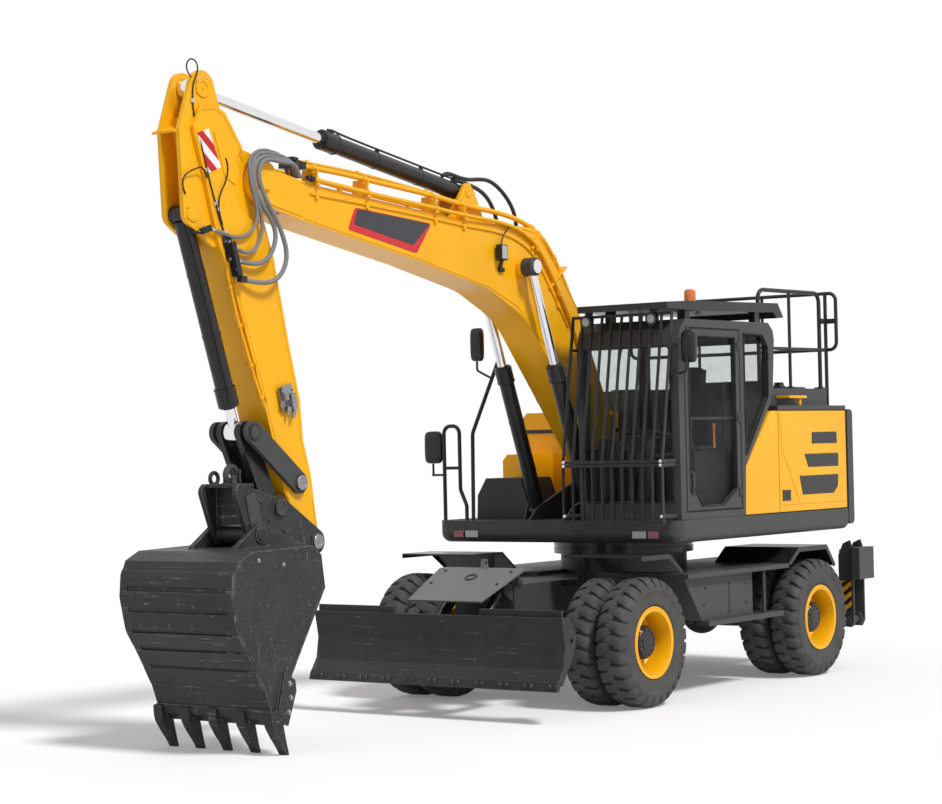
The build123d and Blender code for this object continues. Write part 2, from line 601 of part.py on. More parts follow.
with BuildPart() as cab_shell:
    slab(cab_outline, cab_y)
    slab(cab_inside, (cab_y[0] + cab_wall, cab_y[1] - cab_wall), mode=Mode.SUBTRACT)
    left_wall = (cab_y[1] - cab_wall - 1, cab_y[1] + 1)
    door_inner_y = cab_y[1] - cab_door_thickness
    right_wall = (cab_y[0] - 1, cab_y[0] + cab_wall + 1)
    slab(door_opening, (door_inner_y - seat_gap, cab_y[1] + 1), mode=Mode.SUBTRACT)
    slab(door_lip, left_wall, mode=Mode.SUBTRACT)
    slab(quarter_window, left_wall, mode=Mode.SUBTRACT)
    slab(right_window, right_wall, mode=Mode.SUBTRACT)
    slab(right_rear_window, right_wall, mode=Mode.SUBTRACT)
    bulkhead(front_window, (970, 1040), mode=Mode.SUBTRACT)
    block((-640, -450), (330, 1140), rear_window_z, mode=Mode.SUBTRACT)
finish(cab_shell, "cab_shell")

with BuildPart() as cab_door:
    slab(door_outline, (door_inner_y, cab_y[1]))
    slab(door_window, (door_inner_y - 1, cab_y[1] + 1), mode=Mode.SUBTRACT)
    layer([(20, cab_y[1]), (20, door_inner_y - 1), (21 + cab_door_thickness, door_inner_y - 1)], (1550, 3100),
          mode=Mode.SUBTRACT)
finish(cab_door, "cab_door")

with BuildPart() as door_glass:
    slab(door_window, (cab_y[1] - 30, cab_y[1] - 30 + glass))
finish(door_glass, "door_glass")

with BuildPart() as cab_glass:
    slab(quarter_window, (cab_y[1] - 30, cab_y[1] - 30 + glass))
    slab(right_window, (cab_y[0] + 24, cab_y[0] + 24 + glass))
    slab(right_rear_window, (cab_y[0] + 24, cab_y[0] + 24 + glass))
    bulkhead(front_window, (1004, 1004 + glass))
    slab([(-566, 2660), (-560, 2660), (-589, 2990), (-595, 2990)], (330, 1140))
finish(cab_glass, "cab_glass")

with BuildPart() as cab_roof:
    slab([(1150, 3240), (1150, 3295), (790, 3315), (-720, 3346), (-822, 3222), (-700, 3212), (-640, 3262),
          (640, 3235)], (330, 1215))
    for x in (-420, 760):
        for y in ((380, 440), (1110, 1170)):
            block((x - 40, x + 40), y, (3160, 3260))
    slab(cab_outline, cab_y, mode=Mode.SUBTRACT)
    round_bar((258, 900, 3320), (258, 900, 3345), 62)
    round_bar((258, 900, 3345), (258, 900, 3437), 45)
finish(cab_roof, "cab_roof")

guard_y = (228, 1206)
guard_bars = 10
guard_foot_x = 1270
guard_top_x = 1060
guard_z = (1470, 1965, 3218)
with BuildPart() as front_guard:
    pitch = (guard_y[1] - guard_y[0]) / guard_bars
    for n in range(guard_bars + 1):
        y = guard_y[0] + n * pitch
        block((guard_foot_x - 15, guard_foot_x + 15), (y - 6, y + 6), (guard_z[0], guard_z[1]))
        slab([(guard_foot_x - 15, guard_z[1] + 6), (guard_foot_x + 15, guard_z[1] + 6),
              (guard_top_x + 15, guard_z[2]), (guard_top_x - 15, guard_z[2])], (y - 6, y + 6))
    for z in (guard_z[0], guard_z[1] - 24):
        block((guard_foot_x - 15, guard_foot_x + 15), (guard_y[0] - 6, guard_y[1] + 6), (z, z + 24))
    block((guard_foot_x - 18, guard_foot_x + 14), (guard_y[0] - 6, guard_y[1] + 6), (guard_z[1] + 6, guard_z[1] + 30))
    block((guard_top_x - 15, guard_top_x + 19), (guard_y[0] - 6, guard_y[1] + 6), (guard_z[2] - 24, guard_z[2]))
    for y in ((guard_y[0] - 6, guard_y[0] + 22), (guard_y[1] - 22, guard_y[1] + 6)):
        for z in (1520, 1941, 1973):
            block((1030, guard_foot_x - 10), y, (z, z + 22))
        block((1030, guard_top_x + 35), y, (2920, 2942))
finish(front_guard, "front_guard")

with BuildPart() as cab_interior:
    block((60, 480), (560, 900), (deck_z + 60, 1840))
    block((20, 560), (480, 980), (1840, 1990))
    slab([(60, 1960), (170, 1960), (80, 2560), (-30, 2560)], (490, 970))
    slab([(-30, 2555), (50, 2555), (20, 2760), (-60, 2760)], (600, 860))
    # consoles, levers, steering column and wheel
    for y in ((330, 460), (1000, 1120)):
        block((60, 620), y, (deck_z + 60, 2060))
        round_bar((560, (y[0] + y[1]) / 2, 2060), (580, (y[0] + y[1]) / 2, 2260), 22)
    round_bar((857, 730, deck_z + 72), (700, 730, 2180), 45)
    with Locations(Location((690, 730, 2200), (0, -10, 0))):
        Torus(190, 16)
        Cylinder(60, 40)
        Box(370, 30, 20)
finish(cab_interior, "cab_interior")

# ================================================================ handrails and mirrors
deck_rail_front = (-852, 940)  # XY of the side rail's front post, clear of the roof
deck_rail_rear = (-1895, 1000)
deck_rail_top_z = 3490
deck_rail_middle_z = 2965
tail_rail_x = -1985
tail_rail_end_y = 1130
low_mirror_z = (1990, 2280)
high_mirror_z = (2880, 3175)
with BuildPart() as handrails:
    # side rail on the deck, and the rail across the tail
    tube([(*deck_rail_front, hood_top_z), (*deck_rail_front, deck_rail_top_z),
          (*deck_rail_rear, deck_rail_top_z), (*deck_rail_rear, hood_top_z)], 19, 90)
    round_bar((*deck_rail_front, deck_rail_middle_z), (*deck_rail_rear, deck_rail_middle_z), 15)
    deck_post = (Vector(*deck_rail_front) + Vector(*deck_rail_rear)) * 0.5
    round_bar((deck_post.X, deck_post.Y, hood_top_z), (deck_post.X, deck_post.Y, deck_rail_top_z), 15)
    for side in (1, -1):
        y_post, y_end = side * (deck_rail_rear[1] + 20), side * tail_rail_end_y
        tube([(tail_rail_x, 0, deck_rail_top_z), (tail_rail_x, y_end, deck_rail_top_z),
              (tail_rail_x, y_end, deck_rail_middle_z), (tail_rail_x, 0, deck_rail_middle_z)], 17, 70)
        round_bar((tail_rail_x, y_post, tail_z[1]), (tail_rail_x, y_post, deck_rail_top_z), 17)
        round_bar((tail_rail_x, side * 350, tail_z[1]), (tail_rail_x, side * 350, deck_rail_top_z), 15)
    for z in (3230, deck_rail_middle_z):
        round_bar((*deck_rail_rear, z), (tail_rail_x, deck_rail_rear[1] + 20, z), 14)
    tube([(1050, -1185, deck_z), (1050, -1185, 2320), (1050, -1015, 2320), (1050, -1015, 1760), (1050, -950, 1620),
          (1050, -950, deck_z)], 17, 70)
    round_bar((1050, -1185, 1950), (1050, -1015, 1950), 14)
    # arm of the low right mirror
    round_bar((1050, -1185, 1890), (1050, -1320, 1890), 10)
    round_bar((1050, -1310, 1885), (1050, -1310, low_mirror_z[0]), 10)
    tube([(1050, -880, deck_z + 1), (1050, -870, 2250), (1050, -574, 2882)], 17, 120)
    tube([(1050, -652, 2728), (1050, -805, 2800), (1050, -805, high_mirror_z[0])], 10, 30)
finish(handrails, "handrails")

mirror_y = 1400
with BuildPart() as mirrors:
    # left mirror, on an arm from the cab's front pillar
    block((1030, 1062), (1200, 1232), (2680, 2720))
    tube([(1050, 1225, 2700), (1050, 1330, 2720), (1050, 1330, 3095), (1016, 1330, 3080)], 10, 14)
    block((985, 1050), (1262, mirror_y), (2790, 3060))
    # heads of the low and the high right mirror, on the handrails' arms
    block((1020, 1080), (-mirror_y, -1215), low_mirror_z)
    block((1020, 1080), (-870, -740), high_mirror_z)
finish(mirrors, "mirrors")

# ================================================================ boom, arm and bucket
boom_lower = [(840, 2500), (1470, 3200), (2000, 3430), (2907, 3609), (4339, 3843), (4790, 3940)]
boom_upper = [(4820, 4225), (4231, 4122), (2334, 3975), (1300, 3975), (701, 3324), (-70, 1860)]
boom_span = (boom_y - boom_half_width, boom_y + boom_half_width)
with BuildPart() as boom:
    with BuildSketch(Plane.XZ.offset(-boom_span[1])) as boom_profile:
        Polygon((150, 1700), *boom_lower, *boom_upper, align=None)
        fillet(boom_profile.vertices().sort_by_distance((1470, 3200))[0], 900)
        fillet(boom_profile.vertices().sort_by_distance((2000, 3430))[0], 900)
        fillet(boom_profile.vertices().sort_by_distance((1300, 3975))[0], 240)
        with Locations(boom_tip):
            Circle(165)
        with Locations(boom_foot):
            Circle(138)
    extrude(boom_profile.sketch, amount=2 * boom_half_width, dir=(0, -1, 0))
    neck = arm_neck_half_width + side_gap
    bar_y(boom_tip, arm_neck_radius + 20, (boom_y - neck, boom_y + neck), mode=Mode.SUBTRACT)
    slab([(boom_tip[0] - 60, boom_tip[1] - 400), (boom_tip[0] + 300, boom_tip[1] - 400),
          (boom_tip[0] + 300, boom_tip[1] + 400), (boom_tip[0] - 60, boom_tip[1] + 400)],
         (boom_y - neck, boom_y + neck), mode=Mode.SUBTRACT)
    bar_y(boom_tip, 60, (boom_y - boom_half_width - 30, boom_y + boom_half_width + 30))
    bar_y(boom_foot, boom_foot_pin_radius + running_gap, (boom_span[0] - 1, boom_span[1] + 1), mode=Mode.SUBTRACT)
    # ears of the arm cylinder on the top edge
    for y in ((boom_y - 106, boom_y - 76), (boom_y + 76, boom_y + 106)):
        wrap([(arm_cylinder_base, 72), ((1960, 3950), 20), ((2420, 3975), 20)], y)
    bar_y(arm_cylinder_base, pin_radius, (boom_y - 112, boom_y + 112))
    # bosses beside the boom cylinders' rod eyes
    for side in (1, -1):
        bar_y(boom_cylinder_tip, 85, sorted((boom_y + side * 100, boom_y + side * 218)))
finish(boom, "boom")

with BuildPart() as boom_barrels:
    for side in (1, -1):
        y = boom_y + side * boom_cylinder_y
        barrel(at(boom_cylinder_base, y), at(boom_cylinder_tip, y), (0, 1, 0), boom_barrel_length, 65, 40,
               (66, 58, pin_radius))
finish(boom_barrels, "boom_barrels")

with BuildPart() as boom_rods:
    for side in (1, -1):
        y = boom_y + side * boom_cylinder_y
        rod(at(boom_cylinder_base, y), at(boom_cylinder_tip, y), (0, 1, 0), boom_rod_length, 65, 40, (74, 47))
        bar_y(boom_cylinder_tip, 58, sorted((y, y + side * 75)))
finish(boom_rods, "boom_rods")

arm_outline = [(5478, 4440), (5372, 4123), (5300, 3860), (5225, 3600), (5110, 3390), (4808, 2576), (4577, 1840),
               (4365, 1420), (4195, 1440), (4279, 1968), (4358, 2218), (4383, 2514), (4492, 2916), (4643, 3541),
               (4919, 4279), (5140, 4570), (5240, 4612), (5400, 4590)]
arm_lip = (5560, 4412)  # where the ear plates reach furthest forward
arm_span = (boom_y - arm_half_width, boom_y + arm_half_width)
arm_neck_span = (boom_y - arm_neck_half_width, boom_y + arm_neck_half_width)
with BuildPart() as arm:
    slab(arm_outline, arm_span)
    bar_y(arm_tip, 98, arm_span)
    for y in ((arm_span[0] - 1, arm_neck_span[0]), (arm_neck_span[1], arm_span[1] + 1)):
        bar_y(boom_tip, arm_neck_radius, y, mode=Mode.SUBTRACT)
    wrap([(boom_tip, 180), ((5050, 4250), 100), ((4900, 3700), 100)], arm_neck_span)
    bar_y(boom_tip, 60 + running_gap, (arm_span[0], arm_span[1]), mode=Mode.SUBTRACT)
    # twin plates from the arm cylinder's ears down to the bucket cylinder's, ahead of the box
    for y in ((boom_y - 108, boom_y - 72), (boom_y + 72, boom_y + 108)):
        wrap([(arm_ear_pin, 125), ((5190, 4560), 40), (arm_lip, 25)], y)
        wrap([(arm_lip, 25), ((5520, 4120), 25), (bucket_cylinder_base, 88), ((5330, 4350), 30), ((5270, 3800), 30)], y)
        wrap([(bucket_cylinder_base, 88), ((5250, 3640), 40), ((5270, 3800), 30)], y)
    slab([(5420, 4470), (arm_lip[0] + 36, arm_lip[1] - 18), (arm_lip[0] + 42, arm_lip[1] - 2), (5426, 4486)],
         (boom_y - 145, boom_y + 74))
    bar_y(arm_ear_pin, 222, (boom_y - 71, boom_y + 71), mode=Mode.SUBTRACT)
    bar_y(bucket_cylinder_base, 98, (boom_y - 71, boom_y + 71), mode=Mode.SUBTRACT)
    bar_y(bucket_cylinder_base, pin_radius, (boom_y - 120, boom_y + 120))
    bar_y(arm_rocker_pin, pin_radius, (arm_span[0] - 60, arm_span[1] + 60))
    bar_y(arm_tip, pin_radius, (arm_span[0] - 60, arm_span[1] + 60))
finish(arm, "arm")

with BuildPart() as arm_barrel:
    barrel(at(arm_cylinder_base, boom_y), at(arm_ear_pin, boom_y), (0, 1, 0), arm_barrel_length, 68, 42,
           (66, 70, pin_radius))
finish(arm_barrel, "arm_barrel")

with BuildPart() as arm_rod:
    rod(at(arm_cylinder_base, boom_y), at(arm_ear_pin, boom_y), (0, 1, 0), arm_rod_length, 68, 42, (80, 60))
finish(arm_rod, "arm_rod")

with BuildPart() as bucket_barrel:
    barrel(at(bucket_cylinder_base, boom_y), at(rod_pin, boom_y), (0, 1, 0), bucket_barrel_length, 67, 40,
           (66, 66, pin_radius))
finish(bucket_barrel, "bucket_barrel")

with BuildPart() as bucket_rod:
    rod(at(bucket_cylinder_base, boom_y), at(rod_pin, boom_y), (0, 1, 0), bucket_rod_length, 67, 40, (72, 50))
finish(bucket_rod, "bucket_rod")

with BuildPart() as rocker_links:
    for y in ((boom_y - 186, boom_y - 148), (boom_y + 148, boom_y + 186)):
        wrap([(arm_rocker_pin, 80), (rod_pin, 80)], y)
        bar_y(arm_rocker_pin, pin_radius + running_gap, (y[0] - 1, y[1] + 1), mode=Mode.SUBTRACT)
    for y in ((boom_y - 198, boom_y - 62), (boom_y + 62, boom_y + 198)):
        bar_y(rod_pin, pin_radius, y)
finish(rocker_links, "rocker_links")

with BuildPart() as connecting_link:
    for y in ((boom_y - 112, boom_y - 64), (boom_y + 64, boom_y + 112)):
        wrap([(rod_pin, 82), (coupler_link_pin, 78)], y)
        bar_y(rod_pin, pin_radius + running_gap, (y[0] - 1, y[1] + 1), mode=Mode.SUBTRACT)
    bar_y(coupler_link_pin, 78, (boom_y - 112, boom_y + 112))
    slab([(4790, 1960), (4830, 1945), (4765, 1800), (4725, 1815)], (boom_y - 66, boom_y + 66))
finish(connecting_link, "connecting_link")

with BuildPart() as coupler:
    for y in ((boom_y - 184, boom_y - 146), (boom_y + 146, boom_y + 184)):
        wrap([(arm_tip, 92), (bucket_rear_pin, 88), (coupler_link_pin, 86)], y)
        wrap([(coupler_link_pin, 86), (bucket_front_pin, 86), (bucket_rear_pin, 88)], y)
        wrap([(bucket_front_pin, 86), ((5095, 1850), 60), (coupler_link_pin, 60)], y)
        bar_y(arm_tip, pin_radius + running_gap, (y[0] - 1, y[1] + 1), mode=Mode.SUBTRACT)
    wrap([((4640, 1460), 50), ((4860, 1520), 60)], (boom_y - 150, boom_y + 150))
    bar_y(bucket_front_pin, 60, (boom_y - 150, boom_y + 150))
    slab([(4965, 1888), (5120, 1888), (5120, 1912), (4965, 1912)], (boom_y - 184, boom_y + 184))
    slab([(4975, 1600), (5003, 1600), (5003, 1890), (4975, 1890)], (boom_y - 147, boom_y + 147))
    with Locations(Location((5040, boom_y - 130, 1950), (90, 0, 0))):
        Torus(42, 15)
    for y in ((boom_y - 205, boom_y - 184), (boom_y + 184, boom_y + 205)):
        bar_y(coupler_link_pin, 60, y)
    slab([(4595, 1200), (4595, 1300), (4640, 1400), (4748, 1470), (5420, 1454), (5420, 1200)],
         (boom_y - 190, boom_y + 190), mode=Mode.SUBTRACT)
    for pin in (bucket_front_pin, bucket_rear_pin):
        bar_y(pin, pin_radius, (boom_y - bucket_ear_y[1] - 20, boom_y + bucket_ear_y[1] + 20))
finish(coupler, "coupler")

bucket_outer = [(4642, 1300), (4654, 1388), (4754, 1459), (5402, 1443), (5540, 1380), (5590, 1270), (5602, 1117),
                (5545, 880), (5424, 700), (5296, 470), (5215, 262), (5150, 255), (5000, 560), (4619, 1151)]
bucket_inner = [(4672, 1280), (4684, 1370), (4762, 1434), (5396, 1418), (5518, 1362), (5565, 1265), (5577, 1119),
                (5521, 890), (5402, 712), (5272, 480), (5198, 280), (5130, 255), (4980, 560), (4600, 1151)]
bucket_span = (boom_y - bucket_half_width, boom_y + bucket_half_width)
with BuildPart() as bucket:
    slab(bucket_outer, bucket_span)
    slab(bucket_inner, (bucket_span[0] + bucket_plate, bucket_span[1] - bucket_plate), mode=Mode.SUBTRACT)
    for low, high in (bucket_ear_y, (-bucket_ear_y[1], -bucket_ear_y[0])):
        y = (boom_y + low, boom_y + high)
        slab([(4654, 1388), (4754, 1459), (5402, 1443), (5402, 1430), (4754, 1440), (4660, 1380)], y)
        wrap([(bucket_rear_pin, 80), (bucket_front_pin, 82), ((5200, 1450), 20), ((4700, 1400), 20)], y)
        slab([(4560, 1300), (4642, 1300), (4660, 1400), (4560, 1400)], y)
        for pin in (bucket_front_pin, bucket_rear_pin):
            bar_y(pin, pin_radius + seat_gap, (y[0] - 1, y[1] + 1), mode=Mode.SUBTRACT)
    # side cutters, cutting edge and teeth
    for y in ((bucket_span[0] - 22, bucket_span[0]), (bucket_span[1], bucket_span[1] + 22)):
        slab([(5105, 590), (4995, 520), (4985, 440), (5080, 205), (5120, 220), (5175, 330)], y)
    slab([(5250, 330), (5228, 262), (5130, 205), (5112, 240), (5180, 300)], bucket_span)
    for n in (-2, -1, 0, 1, 2):
        y = boom_y + n * tooth_spacing
        slab([(5225, 290), (5235, 215), (5100, 1), (5082, 1), (5120, 160), (5140, 250)], (y - 38, y + 38))
finish(bucket, "bucket")
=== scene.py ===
import json
import math

import bmesh
import bpy
from mathutils import Matrix, Vector
from mathutils.bvhtree import BVHTree


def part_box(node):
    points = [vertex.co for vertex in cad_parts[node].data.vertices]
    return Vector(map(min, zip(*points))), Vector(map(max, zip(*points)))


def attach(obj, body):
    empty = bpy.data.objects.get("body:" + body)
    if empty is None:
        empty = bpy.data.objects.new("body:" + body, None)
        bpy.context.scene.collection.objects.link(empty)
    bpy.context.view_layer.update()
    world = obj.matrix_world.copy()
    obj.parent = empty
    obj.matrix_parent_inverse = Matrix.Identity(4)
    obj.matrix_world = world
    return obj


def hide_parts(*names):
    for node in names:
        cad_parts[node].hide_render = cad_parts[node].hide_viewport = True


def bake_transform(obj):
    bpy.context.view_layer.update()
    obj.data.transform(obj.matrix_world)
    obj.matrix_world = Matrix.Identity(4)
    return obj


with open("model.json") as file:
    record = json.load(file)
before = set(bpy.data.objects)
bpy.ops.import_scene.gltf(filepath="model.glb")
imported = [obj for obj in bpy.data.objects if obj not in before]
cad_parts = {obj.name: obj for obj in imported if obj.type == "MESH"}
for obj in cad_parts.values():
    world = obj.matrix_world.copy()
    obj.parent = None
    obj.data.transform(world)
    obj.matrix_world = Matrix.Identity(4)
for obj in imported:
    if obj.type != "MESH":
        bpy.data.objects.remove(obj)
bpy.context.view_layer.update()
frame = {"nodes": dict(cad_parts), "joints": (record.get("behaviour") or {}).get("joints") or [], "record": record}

joints = {joint["name"]: joint for joint in frame["joints"]}
swing_x = joints["swing"]["pos_m"][0]
X, Y, Z = (1, 0, 0), (0, 1, 0), (0, 0, 1)


def mm(x, y, z):
    return Vector((swing_x + x / 1000, y / 1000, z / 1000))


def pin(joint):
    """The (x, z) of a joint's pin in millimetres from the swing axis."""
    x, _, z = joints[joint]["pos_m"]
    return ((x - swing_x) * 1000, z * 1000)


def around(count, start=0.0):
    """Angles evenly spaced round a circle; start moves them on by a share of one step."""
    return [2 * math.pi * (k + start) / count for k in range(count)]


def shade(colour, factor):
    return tuple(c * factor for c in colour)


# ---------------------------------------------------------------- materials
class Nodes:
    """A material's node tree, with short calls for its nodes."""

    def __init__(self, name):
        self.material = bpy.data.materials.new(name)
        self.material.use_nodes = True
        self.tree = self.material.node_tree
        self.shader = self.tree.nodes["Principled BSDF"]
        self.place = self.add("ShaderNodeTexCoord").outputs["Object"]

    def add(self, kind, **inputs):
        node = self.tree.nodes.new(kind)
        for key, value in inputs.items():
            if hasattr(node, key):
                setattr(node, key, value)
            else:
                self.feed(value, node.inputs[key.replace("_", " ")])
        return node

    def feed(self, value, socket):
        if isinstance(value, bpy.types.NodeSocket):
            self.tree.links.new(value, socket)
        else:
            socket.default_value = value

    def noise(self, scale, detail=4.0, rough=0.55, stretch=None):
        place = self.place
        if stretch:
            mapping = self.add("ShaderNodeMapping", Scale=stretch)
            self.feed(self.place, mapping.inputs["Vector"])
            place = mapping.outputs["Vector"]
        node = self.add("ShaderNodeTexNoise", Vector=place, Scale=scale, Detail=detail, Roughness=rough)
        return node.outputs[0]

    def ramp(self, value, low, high, start=0.0, end=1.0):
        """value from low..high is spread over start..end, and held there beyond."""
        node = self.add("ShaderNodeMapRange")
        for socket, number in zip(node.inputs, (value, low, high, start, end)):
            self.feed(number, socket)
        return node.outputs[0]

    def math(self, operation, a, b=0.0):
        node = self.add("ShaderNodeMath", operation=operation)
        self.feed(a, node.inputs[0])
        self.feed(b, node.inputs[1])
        return node.outputs[0]

    def times(self, a, b):
        return self.math("MULTIPLY", a, b)

    def plus(self, a, b):
        return self.math("ADD", a, b)

    def mix(self, share, a, b):
        node = self.add("ShaderNodeMix", data_type="RGBA")
        for socket, value in ((0, share), (6, a), (7, b)):
            self.feed((*value, 1.0) if isinstance(value, tuple) else value, node.inputs[socket])
        return node.outputs[2]

    def edges(self, radius):
        """1 on outer and inner edges, 0 on flat faces, and the rounded normal itself."""
        bevel = self.add("ShaderNodeBevel", samples=4, Radius=radius)
        flat = self.add("ShaderNodeNewGeometry").outputs["Normal"]
        dot = self.add("ShaderNodeVectorMath", operation="DOT_PRODUCT")
        self.feed(bevel.outputs[0], dot.inputs[0])
        self.feed(flat, dot.inputs[1])
        return self.ramp(dot.outputs["Value"], 0.98, 0.75), bevel.outputs[0]

    def bump(self, height, distance, strength=1.0, normal=None):
        node = self.add("ShaderNodeBump", Height=height, Distance=distance, Strength=strength)
        if normal is not None:
            self.feed(normal, node.inputs["Normal"])
        self.feed(node.outputs[0], self.shader.inputs["Normal"])
        return node.outputs[0]

    def set(self, **inputs):
        for key, value in inputs.items():
            socket = self.shader.inputs[key.replace("_", " ")]
            self.feed((*value, 1.0) if isinstance(value, tuple) else value, socket)
        return self


def painted(name, colour, rough=0.38, wear=0.25, worn=(0.16, 0.16, 0.165), dust=0.25, texture=0.0002,
            edge=0.004, coat=0.0, streaks=0.0, gloss=0.2):
    """Sprayed paint: cloudy tint, orange peel, dust in patches and chips along the edges."""
    m = Nodes(name)
    cloud = m.noise(1.3, 5)
    fine = m.noise(38, 3)
    peel = m.noise(420, 2)
    rub = m.noise(17, 6, 0.7)
    on_edge, rounded = m.edges(edge)
    light = tuple(min(1, c * 1.05) for c in colour)
    base = m.mix(m.ramp(cloud, 0.3, 0.7), shade(colour, 0.93), light)
    grey = sum(colour) / 3
    dusty = tuple(0.6 * c + 0.4 * (0.12 + 0.5 * grey) for c in colour)
    base = m.mix(m.times(m.ramp(rub, 0.48, 0.72), dust), base, dusty)
    if streaks:
        run = m.noise(9, 4, 0.6, (6, 6, 0.35))
        base = m.mix(m.times(m.ramp(run, 0.5, 0.75), streaks), base, shade(colour, 0.55))
    flakes = m.plus(rub, m.times(fine, 0.5))
    chipped = m.times(on_edge, m.ramp(flakes, 0.74, 0.9, 0, wear))
    m.set(Base_Color=m.mix(chipped, base, worn), Roughness=m.ramp(fine, 0.3, 0.7, rough - 0.05, rough + 0.08),
          Coat_Weight=coat, Coat_Roughness=0.12, Specular_IOR_Level=gloss)
    m.bump(m.plus(peel, m.times(fine, 0.6)), texture, 0.7, rounded)
    return m.material


def steel_plate(name, colour, bright, scratch=0.55):
    """Tool steel: worn paint, scratches both ways along the wear faces and bright rubbed edges."""
    m = Nodes(name)
    cloud = m.noise(2.2, 6, 0.6)
    patch = m.noise(11, 8, 0.68)
    fine = m.noise(90, 4)
    long_marks = m.noise(3, 7, 0.75, (14, 0.7, 14))
    steep_marks = m.noise(3, 7, 0.75, (12, 14, 0.8))
    on_edge, rounded = m.edges(0.006)
    base = m.mix(m.ramp(cloud, 0.32, 0.68), shade(colour, 0.8), shade(colour, 1.2))
    rub = m.plus(m.ramp(long_marks, 0.58, 0.66), m.ramp(steep_marks, 0.6, 0.68))
    rub = m.times(m.times(rub, m.ramp(patch, 0.42, 0.62)), scratch)
    rub = m.plus(rub, m.times(on_edge, m.ramp(patch, 0.36, 0.56, 0.15, 0.95)))
    m.set(Base_Color=m.mix(rub, base, bright), Roughness=m.ramp(patch, 0.3, 0.7, 0.36, 0.58),
          Metallic=m.ramp(rub, 0, 1, 0.05, 0.6), Specular_IOR_Level=0.2)
    m.bump(m.plus(m.times(patch, 0.8), m.plus(m.times(fine, 0.3), rub)), 0.0009, 0.6, rounded)
    return m.material


def rubber(name, colour, rough=0.72, depth=0.0006, scale=130):
    """Matt rubber with a fine grain and chalky patches."""
    m = Nodes(name)
    cloud = m.noise(5, 5)
    grain = m.noise(scale, 4, 0.65)
    chalk = m.ramp(m.noise(14, 6, 0.7), 0.45, 0.75)
    base = m.mix(m.ramp(cloud, 0.3, 0.7), shade(colour, 0.8), shade(colour, 1.2))
    m.set(Base_Color=m.mix(m.times(chalk, 0.35), base, (0.13, 0.125, 0.12)),
          Roughness=m.ramp(grain, 0.3, 0.7, rough - 0.1, rough + 0.08), Specular_IOR_Level=0.2)
    m.bump(m.plus(grain, m.times(cloud, 2.0)), depth, 0.8)
    return m.material


def metal(name, colour, rough=0.25, depth=0.00004, grime=0.3):
    """Bare or plated metal with fine marks, smears and a little grime."""
    m = Nodes(name)
    marks = m.noise(160, 3, 0.6)
    smear = m.noise(6, 6, 0.65)
    base = m.mix(m.times(m.ramp(smear, 0.5, 0.75), grime), colour, shade(colour, 0.45))
    m.set(Base_Color=base, Metallic=1.0, Roughness=m.ramp(marks, 0.3, 0.7, rough * 0.75, rough * 1.35))
    m.bump(marks, depth, 0.6)
    return m.material


def pane(name, tint, rough=0.02, clear=0.93):
    """Thin glass: mostly see-through, a tint, a film of dust and a gloss that grows at a slant."""
    m = Nodes(name)
    film = m.noise(9, 6, 0.7)
    clear_shader = m.add("ShaderNodeBsdfTransparent", Color=(*tint, 1.0))
    join = m.add("ShaderNodeMixShader")
    facing = m.add("ShaderNodeLayerWeight", Blend=0.5).outputs["Facing"]
    gloss = m.ramp(m.math("POWER", facing, 5.0), 0, 1, 0.04, 1)
    m.set(Base_Color=(0.02, 0.021, 0.021), Specular_IOR_Level=0.8,
          Roughness=m.ramp(film, 0.3, 0.7, rough, rough + 0.06))
    veil = m.ramp(film, 0.5, 0.8, 1 - clear, 1.06 - clear)
    m.feed(m.math("MAXIMUM", veil, gloss), join.inputs[0])
    m.feed(clear_shader.outputs[0], join.inputs[1])
    m.feed(m.shader.outputs[0], join.inputs[2])
    m.feed(join.outputs[0], m.tree.nodes["Material Output"].inputs[0])
    return m.material


def lens(name, colour, ribs=90):
    """Moulded lamp plastic with fine ribs under a gloss."""
    m = Nodes(name)
    wave = m.add("ShaderNodeTexWave", Vector=m.place, Scale=ribs, bands_direction="Y")
    cells = m.noise(60, 2)
    m.set(Base_Color=m.mix(m.ramp(wave.outputs[1], 0.2, 0.8), shade(colour, 0.72), colour),
          Roughness=0.12, Coat_Weight=0.6, Coat_Roughness=0.05)
    m.bump(m.plus(wave.outputs[1], cells), 0.0006, 0.6)
    return m.material


def hazard(name, first, second, pitch, slant, share=0.5):
    """Diagonal stripes across a panel: slant = (x, y, z) direction that counts the stripes."""
    m = Nodes(name)
    dot = m.add("ShaderNodeVectorMath", operation="DOT_PRODUCT")
    m.feed(m.place, dot.inputs[0])
    dot.inputs[1].default_value = tuple(c / pitch for c in slant)
    phase = m.math("FRACT", dot.outputs["Value"])
    stripe = m.ramp(phase, share - 0.02, share + 0.02)
    scuff = m.ramp(m.noise(30, 7, 0.7), 0.55, 0.75, 0, 0.35)
    colour = m.mix(stripe, first, second)
    m.set(Base_Color=m.mix(scuff, colour, tuple(0.6 * (a + b) / 2 for a, b in zip(first, second))),
          Roughness=m.ramp(m.noise(55), 0.3, 0.7, 0.32, 0.5), Specular_IOR_Level=0.2)
    m.bump(m.noise(200), 0.0001, 0.4)
    return m.material


